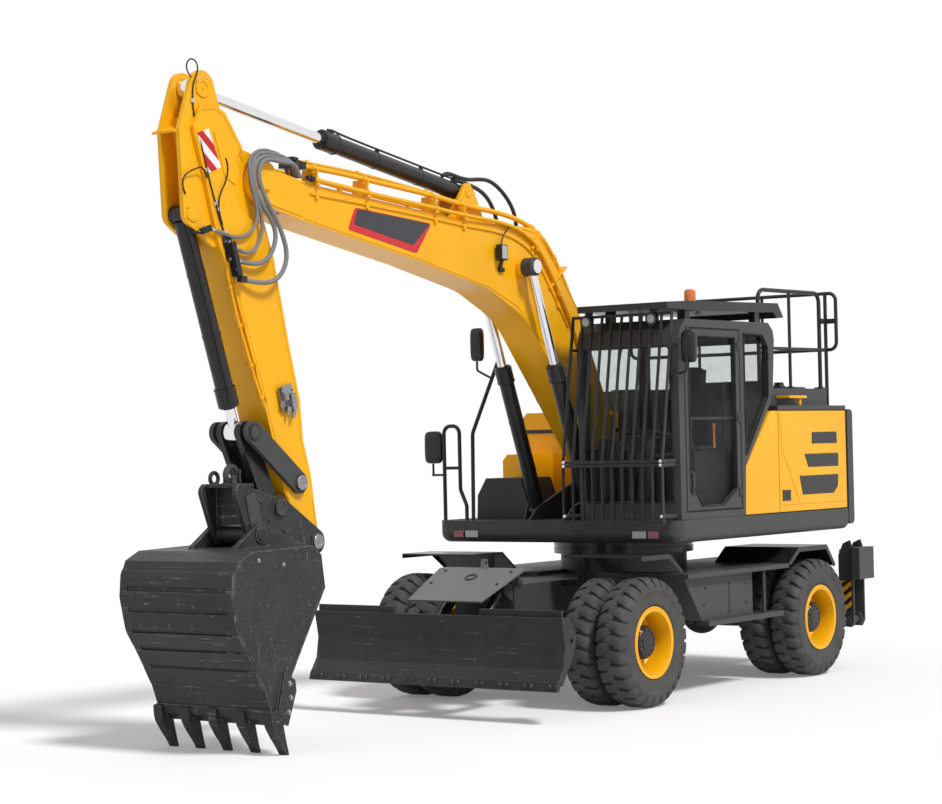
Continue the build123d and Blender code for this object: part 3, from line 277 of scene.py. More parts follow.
def braid(name, colour):
    """Woven sleeve on a hose: two crossing helical weaves in the sleeve's own coordinates."""
    m = Nodes(name)
    sleeve = m.add("ShaderNodeSeparateXYZ", Vector=m.add("ShaderNodeTexCoord").outputs["UV"]).outputs
    waves = []
    for lean in (90, -90):
        turns = m.plus(m.times(sleeve[0], 10.0), m.times(sleeve[1], lean))
        waves.append(m.math("PINGPONG", turns, 0.5))
    weave = m.times(m.times(waves[0], waves[1]), 4.0)
    soil = m.ramp(m.noise(8, 6, 0.7), 0.4, 0.75)
    tone = m.mix(m.ramp(weave, 0.1, 0.6), shade(colour, 0.45), colour)
    m.set(Base_Color=m.mix(m.times(soil, 0.5), tone, shade(colour, 0.4)),
          Roughness=m.ramp(weave, 0, 1, 0.75, 0.5))
    m.bump(weave, 0.0012, 0.8)
    return m.material


def cloth(name, colour):
    """Woven seat cloth: threads along the three axes over soft folds."""
    m = Nodes(name)
    waves = [m.add("ShaderNodeTexWave", Vector=m.place, Scale=180, bands_direction=axis).outputs[1]
             for axis in "XYZ"]
    weave = m.plus(m.times(waves[0], waves[2]), waves[1])
    fold = m.noise(7, 4)
    m.set(Base_Color=m.mix(m.ramp(weave, 0.3, 1.2), shade(colour, 0.8), colour), Roughness=0.9,
          Sheen_Weight=0.1, Sheen_Roughness=0.4, Specular_IOR_Level=0.1)
    m.bump(m.plus(weave, m.times(fold, 4.0)), 0.0007, 0.6)
    return m.material


YELLOW = (0.9, 0.43, 0.004)
CHARCOAL = (0.058, 0.058, 0.06)
finish = {
    "yellow_paint": painted("yellow_paint", YELLOW, 0.34, coat=0.12, wear=0.5, worn=(0.5, 0.2, 0.02),
                            dust=0.05, streaks=0.12, gloss=0.22),
    "dark_paint": painted("dark_paint", CHARCOAL, 0.42, wear=0.4),
    "black_paint": painted("black_paint", (0.014, 0.014, 0.015), 0.3, coat=0.25, wear=0.5,
                           worn=(0.12, 0.12, 0.12)),
    "rail_grey": painted("rail_grey", (0.03, 0.03, 0.032), 0.36, wear=0.3, edge=0.002),
    "grey_cover": painted("grey_cover", (0.15, 0.152, 0.157), 0.45, wear=0.4),
    "engine_iron": painted("engine_iron", (0.09, 0.092, 0.095), 0.6, dust=0.6, texture=0.0008),
    "interior_plastic": painted("interior_plastic", (0.03, 0.031, 0.033), 0.6, wear=0, dust=0.5,
                                texture=0.0006),
    "tool_steel": steel_plate("tool_steel", (0.034, 0.034, 0.034), (0.36, 0.34, 0.31), 0.8),
    "blade_steel": steel_plate("blade_steel", (0.034, 0.034, 0.034), (0.26, 0.25, 0.24), 0.5),
    "tyre_rubber": rubber("tyre_rubber", (0.066, 0.065, 0.063)),
    "soft_rubber": rubber("soft_rubber", (0.016, 0.016, 0.017), 0.5, 0.0002, 300),
    "polished_rod": metal("polished_rod", (0.78, 0.78, 0.8), 0.12, grime=0.15),
    "zinc": metal("zinc", (0.6, 0.6, 0.58), 0.34, grime=0.5),
    "pin_steel": metal("pin_steel", (0.32, 0.32, 0.33), 0.36, grime=0.6),
    "mirror": metal("mirror", (0.82, 0.84, 0.86), 0.03, depth=0.000002, grime=0.05),
    "glass": pane("glass", (0.93, 0.945, 0.94)),
    "clear_lens": lens("clear_lens", (0.42, 0.43, 0.44)),
    "red_lens": lens("red_lens", (0.3, 0.008, 0.006)),
    "amber_lens": lens("amber_lens", (0.85, 0.2, 0.012), 40),
    "red_white": hazard("red_white", (0.8, 0.8, 0.8), (0.55, 0.02, 0.02), 0.115, (0.62, 0.0, -0.78)),
    "black_yellow": hazard("black_yellow", (0.02, 0.02, 0.02), (0.75, 0.36, 0.02), 0.075, (0.0, 0.6, -0.8)),
    "braid": braid("braid", (0.33, 0.33, 0.34)),
    "hose_rubber": rubber("hose_rubber", (0.028, 0.028, 0.03), 0.45, 0.0002, 260),
    "red_panel": painted("red_panel", (0.6, 0.01, 0.016), 0.28, coat=0.4, wear=0.1, worn=(0.3, 0.05, 0.05)),
    "dark_panel": painted("dark_panel", (0.035, 0.036, 0.042), 0.3, coat=0.3, wear=0.1),
    "seat_cloth": cloth("seat_cloth", (0.035, 0.035, 0.036)),
}

# these nodes look different from their material slot
special = {
    "dark_paint": ("rocker_links", "engine_bay_frame"),
    "black_paint": ("arm_barrel", "bucket_barrel", "boom_barrels", "blade_barrels", "connecting_link",
                    "engine_hood", "slew_ring", "cab_roof", "fenders"),
    "grey_cover": ("blade_cover",), "blade_steel": ("dozer_blade",), "glass": ("door_glass",),
    "rail_grey": ("front_guard",),
}
node_finish = {node: name for name, nodes in special.items() for node in nodes}
for subpart in frame["record"]["subparts"]:
    node = frame["nodes"][subpart["node"]]
    name = node_finish.get(subpart["node"], subpart["material_slot"])
    node.data.materials.clear()
    node.data.materials.append(finish[name])


# ---------------------------------------------------------------- camera
def heading(azimuth, elevation):
    """The direction that lies azimuth round from X and elevation above the ground (radians)."""
    flat = math.cos(elevation)
    return Vector((math.cos(azimuth) * flat, math.sin(azimuth) * flat, math.sin(elevation)))


CAMERA_PLACE = (17561, 11258, 2166)
CAMERA_ANGLES = (216.32, 1.01, -1.26)
CAMERA_LENS = 89.24
SENSOR_WIDTH = 36
camera_data = bpy.data.cameras.new("camera")
camera_data.lens, camera_data.sensor_width = CAMERA_LENS, SENSOR_WIDTH
camera_data.clip_end = 300
camera = bpy.data.objects.new("camera", camera_data)
yaw, pitch, roll = (math.radians(angle) for angle in CAMERA_ANGLES)
look = heading(yaw, pitch)
level = Vector((math.sin(yaw), -math.cos(yaw), 0))
right = math.cos(roll) * level + math.sin(roll) * level.cross(look)
up = right.cross(look)
turned = Matrix((right, up, -look)).transposed().to_4x4()
camera.matrix_world = Matrix.Translation(mm(*CAMERA_PLACE)) @ turned
bpy.context.scene.collection.objects.link(camera)
bpy.context.scene.camera = camera
bpy.context.scene.view_settings.view_transform = "Standard"


# ---------------------------------------------------------------- light and floor
def sun(name, azimuth, elevation, strength, spread):
    """A distant lamp: where it stands in degrees, its strength and how wide it looks."""
    lamp = bpy.data.lights.new(name, "SUN")
    lamp.energy, lamp.angle = strength, math.radians(spread)
    holder = bpy.data.objects.new(name, lamp)
    towards = heading(math.radians(azimuth), math.radians(elevation))
    holder.rotation_mode = "QUATERNION"
    holder.rotation_quaternion = towards.to_track_quat("Z", "Y")
    bpy.context.scene.collection.objects.link(holder)


sun("key", 80, 50, 2.75, 12)
sun("fill", -20, 35, 0.12, 40)

WORLD_COLOUR = (0.98, 0.99, 1.0, 1)
WORLD_STRENGTH = 0.4
FLOOR_GLOW = 0.16
FLOOR_REACH = 60
world = bpy.data.worlds.new("world")
bpy.context.scene.world = world
world.use_nodes = True
tree = world.node_tree
background = tree.nodes["Background"]
background.inputs["Color"].default_value = WORLD_COLOUR
background.inputs["Strength"].default_value = WORLD_STRENGTH
white = tree.nodes.new("ShaderNodeBackground")
white.inputs["Color"].default_value = (1, 1, 1, 1)
paths = tree.nodes.new("ShaderNodeLightPath").outputs
# camera, glass and mirrors see plain white; only the diffuse light is the background's
seen, glossy = (tree.nodes.new("ShaderNodeMath") for _ in range(2))
seen.operation = glossy.operation = "MAXIMUM"
join = tree.nodes.new("ShaderNodeMixShader")
for source, socket in ((paths["Is Camera Ray"], seen.inputs[0]),
                       (paths["Is Transmission Ray"], glossy.inputs[0]),
                       (paths["Is Glossy Ray"], glossy.inputs[1]), (glossy.outputs[0], seen.inputs[1]),
                       (seen.outputs[0], join.inputs[0]), (background.outputs[0], join.inputs[1]),
                       (white.outputs[0], join.inputs[2]),
                       (join.outputs[0], tree.nodes["World Output"].inputs[0])):
    tree.links.new(source, socket)

ground = Nodes("floor")
ground_paths = ground.add("ShaderNodeLightPath").outputs
ground_seen = ground.math("MAXIMUM", ground_paths["Is Camera Ray"], ground_paths["Is Transmission Ray"])
ground_seen = ground.math("MAXIMUM", ground_seen, ground_paths["Is Glossy Ray"])
tone = ground.ramp(ground.noise(0.4), 0.3, 0.7, 0.78, 0.8)
ground_colour = ground.add("ShaderNodeCombineColor", Red=tone, Green=tone, Blue=tone)
ground.set(Base_Color=ground_colour.outputs[0], Roughness=0.9, Specular_IOR_Level=0.1,
           Emission_Color=(1, 1, 1), Emission_Strength=ground.times(ground_seen, FLOOR_GLOW))
floor_mesh = bpy.data.meshes.new("floor")
floor_corners = [(FLOOR_REACH * i, FLOOR_REACH * j, 0) for i, j in ((-1, -1), (1, -1), (1, 1), (-1, 1))]
floor_mesh.from_pydata(floor_corners, [], [(0, 1, 2, 3)])
floor_mesh.materials.append(ground.material)
floor = bpy.data.objects.new("floor", floor_mesh)
bpy.context.scene.collection.objects.link(floor)


# ---------------------------------------------------------------- shapes
def frame_of(axis):
    """A rotation whose Z is axis and whose X is as near straight up as it can be."""
    z = Vector(axis).normalized()
    x = Vector(Z) - Vector(Z).dot(z) * z
    if x.length < 1e-4:
        x = z.orthogonal()
    x.normalize()
    return Matrix((x, z.cross(x), z)).transposed().to_4x4()


def at_y(y, outline, closed=False):
    """An outline of (x, z) brought to one y, and back to its start if it is closed."""
    places = [(x, y, z) for x, z in outline]
    return places + places[:1] if closed else places


def carried(side, along):
    """A direction square to along, turned as little as can be from the last one."""
    return (along.orthogonal() if side is None else side - side.dot(along) * along).normalized()


def settle(piece, material, body):
    """Links a piece, puts it on its body and gives it its material."""
    piece.data.materials.append(finish[material])
    bpy.context.scene.collection.objects.link(piece)
    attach(piece, body)
    return piece


class Shape:
    """A mesh under construction, in millimetres from the swing axis."""

    def __init__(self):
        self.bm = bmesh.new()

    def loops(self, rings, wrap=False):
        """Skins a list of rings of points, each with as many points as the next; wrap joins last to first."""
        rows = [[self.bm.verts.new(mm(*p)) for p in ring] for ring in rings]
        for a, b in zip(rows, rows[1:] + rows[:1] if wrap else rows[1:]):
            for i in range(len(a)):
                j = (i + 1) % len(a)
                self.bm.faces.new((a[i], a[j], b[j], b[i]))
        if not wrap:
            self.bm.faces.new(rows[0][::-1])
            self.bm.faces.new(rows[-1])
        return self

    def prism(self, outline, low, high, plane="xz"):
        """A plate that fills an outline between two places on the third axis."""
        spot = {"xz": lambda p, w: (p[0], w, p[1]), "xy": lambda p, w: (p[0], p[1], w),
                "yz": lambda p, w: (w, p[0], p[1])}[plane]
        return self.loops([[spot(p, low) for p in outline], [spot(p, high) for p in outline]])

    def turn(self, centre, axis, profile, segments=24):
        """Turns a profile of (distance along the axis, radius) about the axis, with flat ends."""
        m = frame_of(axis)
        return self.loops([[Vector(centre) + m @ Vector((r * math.cos(a), r * math.sin(a), along))
                            for a in around(segments)] for along, r in profile])

    def lathe(self, centre, axis, profile, segments=48):
        """Turns a closed outline of (distance along the axis, radius) into a hollow ring."""
        m = frame_of(axis)
        rings = [[Vector(centre) + m @ Vector((r * math.cos(a), r * math.sin(a), along))
                  for along, r in profile] for a in around(segments)]
        return self.loops(rings, wrap=True)

    def plate(self, centre, axis, outer, inner, holes, depth, segments=64):
        """A round plate with a middle hole and smaller holes, given as (angle, distance, radius)."""
        m = frame_of(axis)
        rims = [(0, 0, outer, segments), (0, 0, inner, segments)]
        rims += [(d * math.cos(a), d * math.sin(a), r, 16) for a, d, r in holes]
        edges = []
        for u, v, r, count in rims:
            ring = []
            for a in around(count):
                spot = Vector(centre) + m @ Vector((u + r * math.cos(a), v + r * math.sin(a), 0))
                ring.append(self.bm.verts.new(mm(*spot)))
            edges += [self.bm.edges.new((ring[i], ring[(i + 1) % count])) for i in range(count)]
        made = bmesh.ops.triangle_fill(self.bm, use_beauty=True, edges=edges, normal=Vector(axis))["geom"]
        faces = [item for item in made if isinstance(item, bmesh.types.BMFace)]
        grown = bmesh.ops.extrude_face_region(self.bm, geom=faces)["geom"]
        shift = Vector(axis).normalized() * depth / 1000
        moved = [item for item in grown if isinstance(item, bmesh.types.BMVert)]
        bmesh.ops.translate(self.bm, vec=shift, verts=moved)
        return self

    def slanted(self, centre, along, across, size):
        """A box turned so that its length runs along one direction and its width across another."""
        x = Vector(along).normalized()
        y = (Vector(across) - Vector(across).dot(x) * x).normalized()
        z = x.cross(y)
        half = [number / 2 for number in size]
        return self.loops([[Vector(centre) + x * half[0] * i + y * half[1] * j + z * half[2] * k
                            for j, k in ((-1, -1), (1, -1), (1, 1), (-1, 1))] for i in (-1, 1)])

    def disc(self, centre, axis, radius, depth, segments=24, edge=2.0):
        """A round plate with a small chamfer on its outer face."""
        edge = min(edge, depth / 3, radius / 3)
        profile = [(0, radius), (depth - edge, radius), (depth, radius - edge)]
        return self.turn(centre, axis, profile, segments)

    def bolt(self, centre, axis, size=11.0):
        """A washer and a hexagon head."""
        self.disc(centre, axis, size * 1.25, size * 0.25, 16, 0.5)
        return self.turn(centre, axis, [(0, size), (size * 0.8, size), (size * 0.95, size * 0.82)], 6)

    def tube(self, points, radius, segments=10):
        """A round bar that follows points, mitred at each."""
        points = [Vector(p) for p in points]
        rings = []
        side = None
        for i, p in enumerate(points):
            along = (points[min(i + 1, len(points) - 1)] - points[max(i - 1, 0)]).normalized()
            side = carried(side, along)
            other = along.cross(side)
            rings.append([p + radius * (math.cos(a) * side + math.sin(a) * other) for a in around(segments)])
        return self.loops(rings)

    def ring(self, centre, axis, radius, thick, segments=32, sides=8):
        """A round ring of round section."""
        section = [(thick * math.sin(t), radius + thick * math.cos(t)) for t in around(sides)]
        return self.lathe(centre, axis, section, segments)

    def done(self, name, material, body, bevel=0.0, angle=32, replaces=()):
        """Makes the piece, rounds its edges and puts it on its body."""
        bmesh.ops.recalc_face_normals(self.bm, faces=self.bm.faces)
        mesh = bpy.data.meshes.new(name)
        self.bm.to_mesh(mesh)
        self.bm.free()
        mesh.polygons.foreach_set("use_smooth", [True] * len(mesh.polygons))
        mesh.set_sharp_from_angle(angle=math.radians(angle))
        piece = bpy.data.objects.new(name, mesh)
        if bevel:
            rounding = piece.modifiers.new("rounding", "BEVEL")
            rounding.width, rounding.segments = bevel / 1000, 2
            rounding.limit_method, rounding.angle_limit = "ANGLE", math.radians(angle)
            rounding.harden_normals = True
        settle(piece, material, body)
        if replaces:
            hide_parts(*replaces)
        return piece


surfaces = {}
SIDES = ((1, "left"), (-1, "right"))


def hit(node, start, direction):
    """Where a ray from start meets a CAD node, and the face's normal there (millimetres)."""
    if node not in surfaces:
        mesh = frame["nodes"][node].data
        corners, faces = [v.co for v in mesh.vertices], [p.vertices for p in mesh.polygons]
        surfaces[node] = BVHTree.FromPolygons(corners, faces)
    place, normal, _, _ = surfaces[node].ray_cast(mm(*start), Vector(direction).normalized())
    if place is None:
        raise ValueError(f"nothing of {node} lies that way from {start}")
    return Vector(((place.x - swing_x) * 1000, place.y * 1000, place.z * 1000)), normal


def steer(curve, route):
    """Adds one open NURBS run to a curve, steered by a route's points."""
    spline = curve.splines.new("NURBS")
    spline.points.add(len(route) - 1)
    for point, place in zip(spline.points, route):
        point.co = (*place, 1)
    spline.order_u = 3
    spline.use_endpoint_u = True


def pipes(name, routes, radius, material, body):
    """Smooth round pipes: each route's points steer one open NURBS run."""
    curve = bpy.data.curves.new(name, "CURVE")
    curve.dimensions = "3D"
    curve.bevel_depth = radius / 1000
    curve.bevel_resolution = 3
    curve.resolution_u = 6
    curve.use_fill_caps = True
    for route in routes:
        steer(curve, [mm(*place) for place in route])
    return settle(bpy.data.objects.new(name, curve), material, body)


# ---------------------------------------------------------------- wheels
AXLE_Z = 526
TWINS = (807, 1127)
LUGS = 27
# across the tread from its middle: (distance from the middle, outer radius, lug depth)
TREAD = [(0, 526, 24), (45, 525.5, 24), (88, 522, 24), (112, 510, 23), (126, 490, 19), (134, 462, 11),
         (136.5, 438, 2)]


def tread_point(share, fall):
    """The point a share of the way across half the tread, fall of the way down the lug."""
    place = share * (len(TREAD) - 1)
    i = min(int(place), len(TREAD) - 2)
    w = place - i
    y, r, depth = (a + w * (b - a) for a, b in zip(TREAD[i], TREAD[i + 1]))
    lean = min(1.0, max(0.0, (y - 95) / 40))
    return y - depth * fall * lean, r - depth * fall * (1 - 0.75 * lean)


TYRE_WALL = [(137, 425), (137.5, 416), (134.5, 412), (133.5, 380), (131, 350), (127, 330), (129, 322),
             (122, 305), (112, 296), (111, 256)]
LUG_STATIONS = (0.0, 0.1, 0.28, 0.46, 0.6, 0.72, 0.84, 1.0)
LUG_WIDTHS = (-1.0, -0.86, 0.0, 0.86, 1.0)


def tyre(shape, axle_x, middle_y):
    """A tyre's body, and on it two rows of swept lugs that meet at the middle of the tread."""
    wheel_spot = lambda a, y, r: (axle_x + r * math.sin(a), middle_y + y, AXLE_Z + r * math.cos(a))
    side = [tread_point(s / 12, 1.0) for s in range(13)] + TYRE_WALL
    section = [(-y, r) for y, r in side[::-1]] + side[1:]
    shape.loops([[wheel_spot(a, y, r) for y, r in section] for a in around(108)], wrap=True)
    for turn in range(LUGS):
        for hand in (1, -1):
            lug(shape, wheel_spot, turn + 0.25 * hand, hand)


def lug(shape, wheel_spot, middle, hand):
    """One lug: a grid over its top with a wall down to the tyre's body round its edge."""
    pitch = 2 * math.pi / LUGS
    middle *= pitch
    last, edge = len(LUG_STATIONS) - 1, len(LUG_WIDTHS) - 1
    grid = {}
    for k, s in enumerate(LUG_STATIONS):
        sweep = 0.30 * math.sin(math.pi * 0.5 * min(1, s / 0.6)) ** 2
        half_arc = (0.31 + 0.07 * math.sin(math.pi * s)) if s < 0.72 else 0.34 - 0.1 * (s - 0.72)
        for c, u in enumerate(LUG_WIDTHS):
            reach = hand * (max(-0.15, 0.02 - 0.16 * (1 - abs(u))) if k == 0 else s)
            y, r = tread_point(abs(reach), 0.16 if abs(u) == 1 or k == 0 else 0.0)
            grid[k, c] = (middle + pitch * (sweep + u * half_arc), math.copysign(y, reach), r)
            if c in (0, edge) or k in (0, last):
                y, r = tread_point(abs(reach), 1.04)
                arc = sweep + u * (half_arc + 0.025)
                grid[k, c, "foot"] = (middle + pitch * arc, math.copysign(y, reach), r)
    spot = {key: shape.bm.verts.new(mm(*wheel_spot(*place))) for key, place in grid.items()}
    face = lambda *keys: shape.bm.faces.new([spot[key] for key in keys])
    for k in range(last):
        for c in range(edge):
            face((k, c), (k, c + 1), (k + 1, c + 1), (k + 1, c))
        for c in (0, edge):
            face((k, c), (k + 1, c), (k + 1, c, "foot"), (k, c, "foot"))
    for k in (0, last):
        for c in range(edge):
            face((k, c), (k, c + 1), (k, c + 1, "foot"), (k, c, "foot"))


# closed outlines turned about the axle: (distance outward from the wheel's middle, radius)
RIM = [(-124, 290), (-118, 293), (-112, 288), (-110, 262), (-104, 255), (-60, 246), (60, 246), (104, 255),
       (110, 262), (112, 288), (118, 293), (125, 290), (124, 280), (119, 264), (111, 249), (64, 236),
       (-64, 236), (-111, 247), (-119, 262), (-124, 278)]
LOCK_RING = [(114, 256), (121, 251), (122, 257), (116, 262)]
DISH_EDGE = [(7, 214), (22, 226), (34, 238), (20, 240), (-4, 228), (-7, 214)]
# the hub is turned about the axle too, from the machine's middle plane outward
INNER_HUB = [(700, 60), (700, 118), (820, 118), (824, 164), (880, 164)]
OUTER_HUB = [(880, 100), (880, 164), (1030, 164), (1030, 176), (1052, 176), (1058, 150), (1070, 140),
             (1158, 138), (1164, 133), (1166, 128), (1172, 126), (1180, 118), (1181, 70), (1188, 66),
             (1189, 34), (1192, 30), (1192, 1)]


def wheel_parts(tag, hand, axle_x):
    """Deep rims with hand holes, and the black hub with its nuts."""
    axis, wheel = (0, hand, 0), f"wheels_{tag}"
    rims = Shape()
    for middle, facing in zip(TWINS, (-1, 1)):
        centre = (axle_x, hand * middle, AXLE_Z)
        rims.lathe(centre, axis, RIM, 72)
        rims.lathe(centre, axis, LOCK_RING, 72)
        inset = -90 * facing
        rims.lathe(centre, axis, [(inset + facing * depth, radius) for depth, radius in DISH_EDGE], 72)
        holes = [(a, 192, 15) for a in around(8, 0.5)]
        rims.plate((axle_x, hand * (middle + inset - 7), AXLE_Z), axis, 216, 96, holes, 14)
        rims.disc((axle_x + 205, hand * (middle + 100), AXLE_Z + 118), (-0.85, hand * 0.35, -0.5), 6, 42, 10)
    rims.done(f"rims_{tag}.dish", "yellow_paint", wheel, 1.2, replaces=(f"rims_{tag}",))
    hub, nuts = Shape(), Shape()
    hub.turn((axle_x, 0, AXLE_Z), axis, OUTER_HUB, 48)
    hub.turn((axle_x, 0, AXLE_Z), axis, INNER_HUB, 36)
    for shape, angles, distance, y, size in ((nuts, around(10), 160, 1052, 13),
                                             (hub, around(12, 0.5), 100, 1181, 7.5)):
        for a in angles:
            place = (axle_x + distance * math.cos(a), hand * y, AXLE_Z + distance * math.sin(a))
            shape.bolt(place, axis, size)
    hub.done(f"hub_{tag}", "black_paint", wheel, 1.0)
    nuts.done(f"wheel_nuts_{tag}", "black_paint", wheel)


for end in ("front", "rear"):
    for hand, side in SIDES:
        tag = f"{end}_{side}"
        low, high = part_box(f"tyres_{tag}")
        axle_x = ((low.x + high.x) / 2 - swing_x) * 1000
        treads = Shape()
        for y in TWINS:
            tyre(treads, axle_x, hand * y)
        treads.done(f"tread_{tag}", "tyre_rubber", f"wheels_{tag}", replaces=(f"tyres_{tag}",), angle=40)
        wheel_parts(tag, hand, axle_x)

# ---------------------------------------------------------------- cylinders and pins
BOOM_Y = -140


def unit(a, b):
    """The direction from a to b."""
    return (Vector(b) - Vector(a)).normalized()


def cylinder(name, body, base, tip, length, outer, side, pipe=True):
    """What a hydraulic barrel carries: clamps, ports, a hard pipe, gland bolts and a wiper."""
    base, tip = Vector(base), Vector(tip)
    along = unit(base, tip)
    out = (Vector(side) - Vector(side).dot(along) * along).normalized()
    gland = 0.08 * length + 20
    trim = Shape()
    spot = lambda distance, away=0.0: base + along * distance + out * away
    port = outer * 1.1
    for share in (0.3, 0.62):
        trim.turn(spot(share * length), along, [(0, outer + 2.5), (24, outer + 2.5)], 40)
        if pipe:
            trim.slanted(spot(share * length + 12, outer + 10), along, out, (24, 26, 30))
            trim.bolt(spot(share * length + 12, outer + 22), out, 6)
    trim.turn(spot(length - gland - 6), along, [(0, outer * 1.18), (8, outer * 1.22), (16, outer * 1.18)], 40)
    trim.turn(spot(length - 2), along, [(0, port), (7, port), (10, outer * 1.04)], 40)
    for a in around(8):
        ring = out * math.cos(a) + along.cross(out) * math.sin(a)
        trim.bolt(base + along * (length + 7) + ring * outer * 0.88, along, 6.5)
    for distance in (95, length - gland / 2):
        trim.slanted(spot(distance, port + 8), along, out, (46, 30, 44))
    trim.done(f"{name}.trim", "black_paint", body, 2)
    if pipe:
        low, high = port + 20, outer + 20
        run = [spot(95, low), spot(120, low), spot(150, high), spot(length * 0.5, high),
               spot(length - gland - 60, high), spot(length - gland / 2 - 30, port + 22),
               spot(length - gland / 2, low)]
        pipes(f"{name}.pipe", [run], 9, "black_paint", body)
    wiper = Shape()
    wiper.turn(spot(length + 6), along, [(0, outer * 0.74), (8, outer * 0.74), (14, outer * 0.68)], 32)
    wiper.done(f"{name}.wiper", "soft_rubber", body)


CLEAR_OF_MACHINE = 2500


def face_y(node, x, z, hand):
    """How far out a node's left (hand 1) or right (hand -1) side stands at (x, z)."""
    return hit(node, (x, hand * CLEAR_OF_MACHINE, z), (0, -hand, 0))[0].y


def pin_end(shape, node, place, hand, radius):
    """The end of a pin seen on a node's side: a collar and its two keeper bolts."""
    x, z = place
    faces = [face_y(node, x + shift, z, hand) for shift in (0.9 * radius, -0.9 * radius)]
    axis = (0, hand, 0)
    y = (max if hand > 0 else min)(faces) - hand * 2
    shape.turn((x, y, z), axis, [(0, radius), (9, radius), (12, radius - 3), (12, radius * 0.62),
                                 (7, radius * 0.6), (7, radius * 0.2), (12, radius * 0.18), (12, 1)], 32)
    for lift in (0.55, -0.55):
        shape.bolt((x + radius * 0.8, y + hand * 8, z + radius * lift), axis, 8)


# cylinder pins as (x, z), and how far each boom cylinder stands from the boom's middle
ARM_EAR = (5340, 4731)
BOOM_ROD_EYE = (1543, 3628)
BOOM_CYLINDER_FOOT = (723, 1565)
BOOM_CYLINDER_GAP = 270
cylinder("arm_cylinder", "arm_barrel", (2171, BOOM_Y, 4225), (ARM_EAR[0], BOOM_Y, ARM_EAR[1]), 1770, 68,
         (0, 0.3, 1))
cylinder("bucket_cylinder", "bucket_barrel", (5466, BOOM_Y, 3830), (4945, BOOM_Y, 2281), 1430, 67,
         (0.6, 1, 0))
for hand, side in SIDES:
    y = BOOM_Y + hand * BOOM_CYLINDER_GAP
    foot, eye = ((x, y, z) for x, z in (BOOM_CYLINDER_FOOT, BOOM_ROD_EYE))
    cylinder(f"boom_cylinder_{side}", "boom_barrels", foot, eye, 1335, 65, (-1, 0.2 * hand, 0.4))
    cylinder(f"blade_cylinder_{side}", "blade_barrels", (2185, hand * 215, 985), (2600, hand * 215, 560), 400,
             44, (1, 0, 1), pipe=False)

for name, body, node, place, radius, material in (
        ("boom_tip_pin", "boom", "boom", pin("arm_swing"), 78, "yellow_paint"),
        ("arm_ear_pin", "arm", "arm", ARM_EAR, 70, "yellow_paint"),
        ("bucket_cylinder_pin", "arm", "arm", pin("bucket_barrel_swing"), 62, "yellow_paint"),
        ("arm_tip_pin", "bucket", "coupler", pin("bucket_curl"), 66, "dark_paint"),
        ("link_pin", "rocker_links", "rocker_links", pin("link_swing"), 62, "black_paint"),
        ("coupler_pin", "bucket", "coupler", (4692, 1730), 62, "dark_paint"),
        ("bucket_front_pin", "bucket", "bucket", (4945, 1542), 66, "dark_paint"),
        ("bucket_rear_pin", "bucket", "bucket", (4499, 1370), 62, "dark_paint"),
        ("boom_foot_pin", "upper", "platform", pin("boom_lift"), 70, "dark_paint"),
        ("boom_cylinder_pin", "upper", "platform", BOOM_CYLINDER_FOOT, 58, "dark_paint")):
    ends = Shape()
    for hand in (1, -1):
        pin_end(ends, node, place, hand, radius)
    ends.done(name, material, body, 1)
ends = Shape()
for joint in ("rocker_swing", "bucket_curl"):
    x, z = pin(joint)
    cap = [(0, 56), (9, 56), (12, 52), (12, 34), (8, 32), (8, 12), (12, 11), (12, 1)]
    for hand in (1, -1):
        ends.turn((x, face_y("arm", x, z, hand) - hand, z), (0, hand, 0), cap, 32)
ends.done("arm_pin_caps", "pin_steel", "arm", 1)

eyes = Shape()
for hand in (1, -1):
    profile = [(-47, 77), (58, 77), (63, 72), (63, 45), (57, 43), (57, 22), (60, 20), (60, 1)]
    x, z = BOOM_ROD_EYE
    eyes.turn((x, BOOM_Y + hand * BOOM_CYLINDER_GAP, z), (0, hand, 0), profile, 48)
eyes.done("boom_rod_eyes", "dark_paint", "boom_rods", 1.5)

# ---------------------------------------------------------------- boom
BOOM_FACE, BOOM_BACK = 30, -310


def line_of(route):
    """Points close together along the NURBS line that a route's points steer (millimetres)."""
    curve = bpy.data.curves.new("line", "CURVE")
    curve.dimensions = "3D"
    curve.resolution_u = 10
    steer(curve, route)
    holder = bpy.data.objects.new("line", curve)
    mesh = bpy.data.meshes.new_from_object(holder)
    points = [v.co.copy() for v in mesh.vertices]
    bpy.data.objects.remove(holder)
    bpy.data.curves.remove(curve)
    bpy.data.meshes.remove(mesh)
    return points


def at_x(line, x):
    """The point of a line where it passes x, and its direction there."""
    for a, b in zip(line, line[1:]):
        if min(a.x, b.x) <= x <= max(a.x, b.x) and a.x != b.x:
            return a.lerp(b, (x - a.x) / (b.x - a.x)), (b - a).normalized()
    raise ValueError(f"the line doesn't pass {x}")


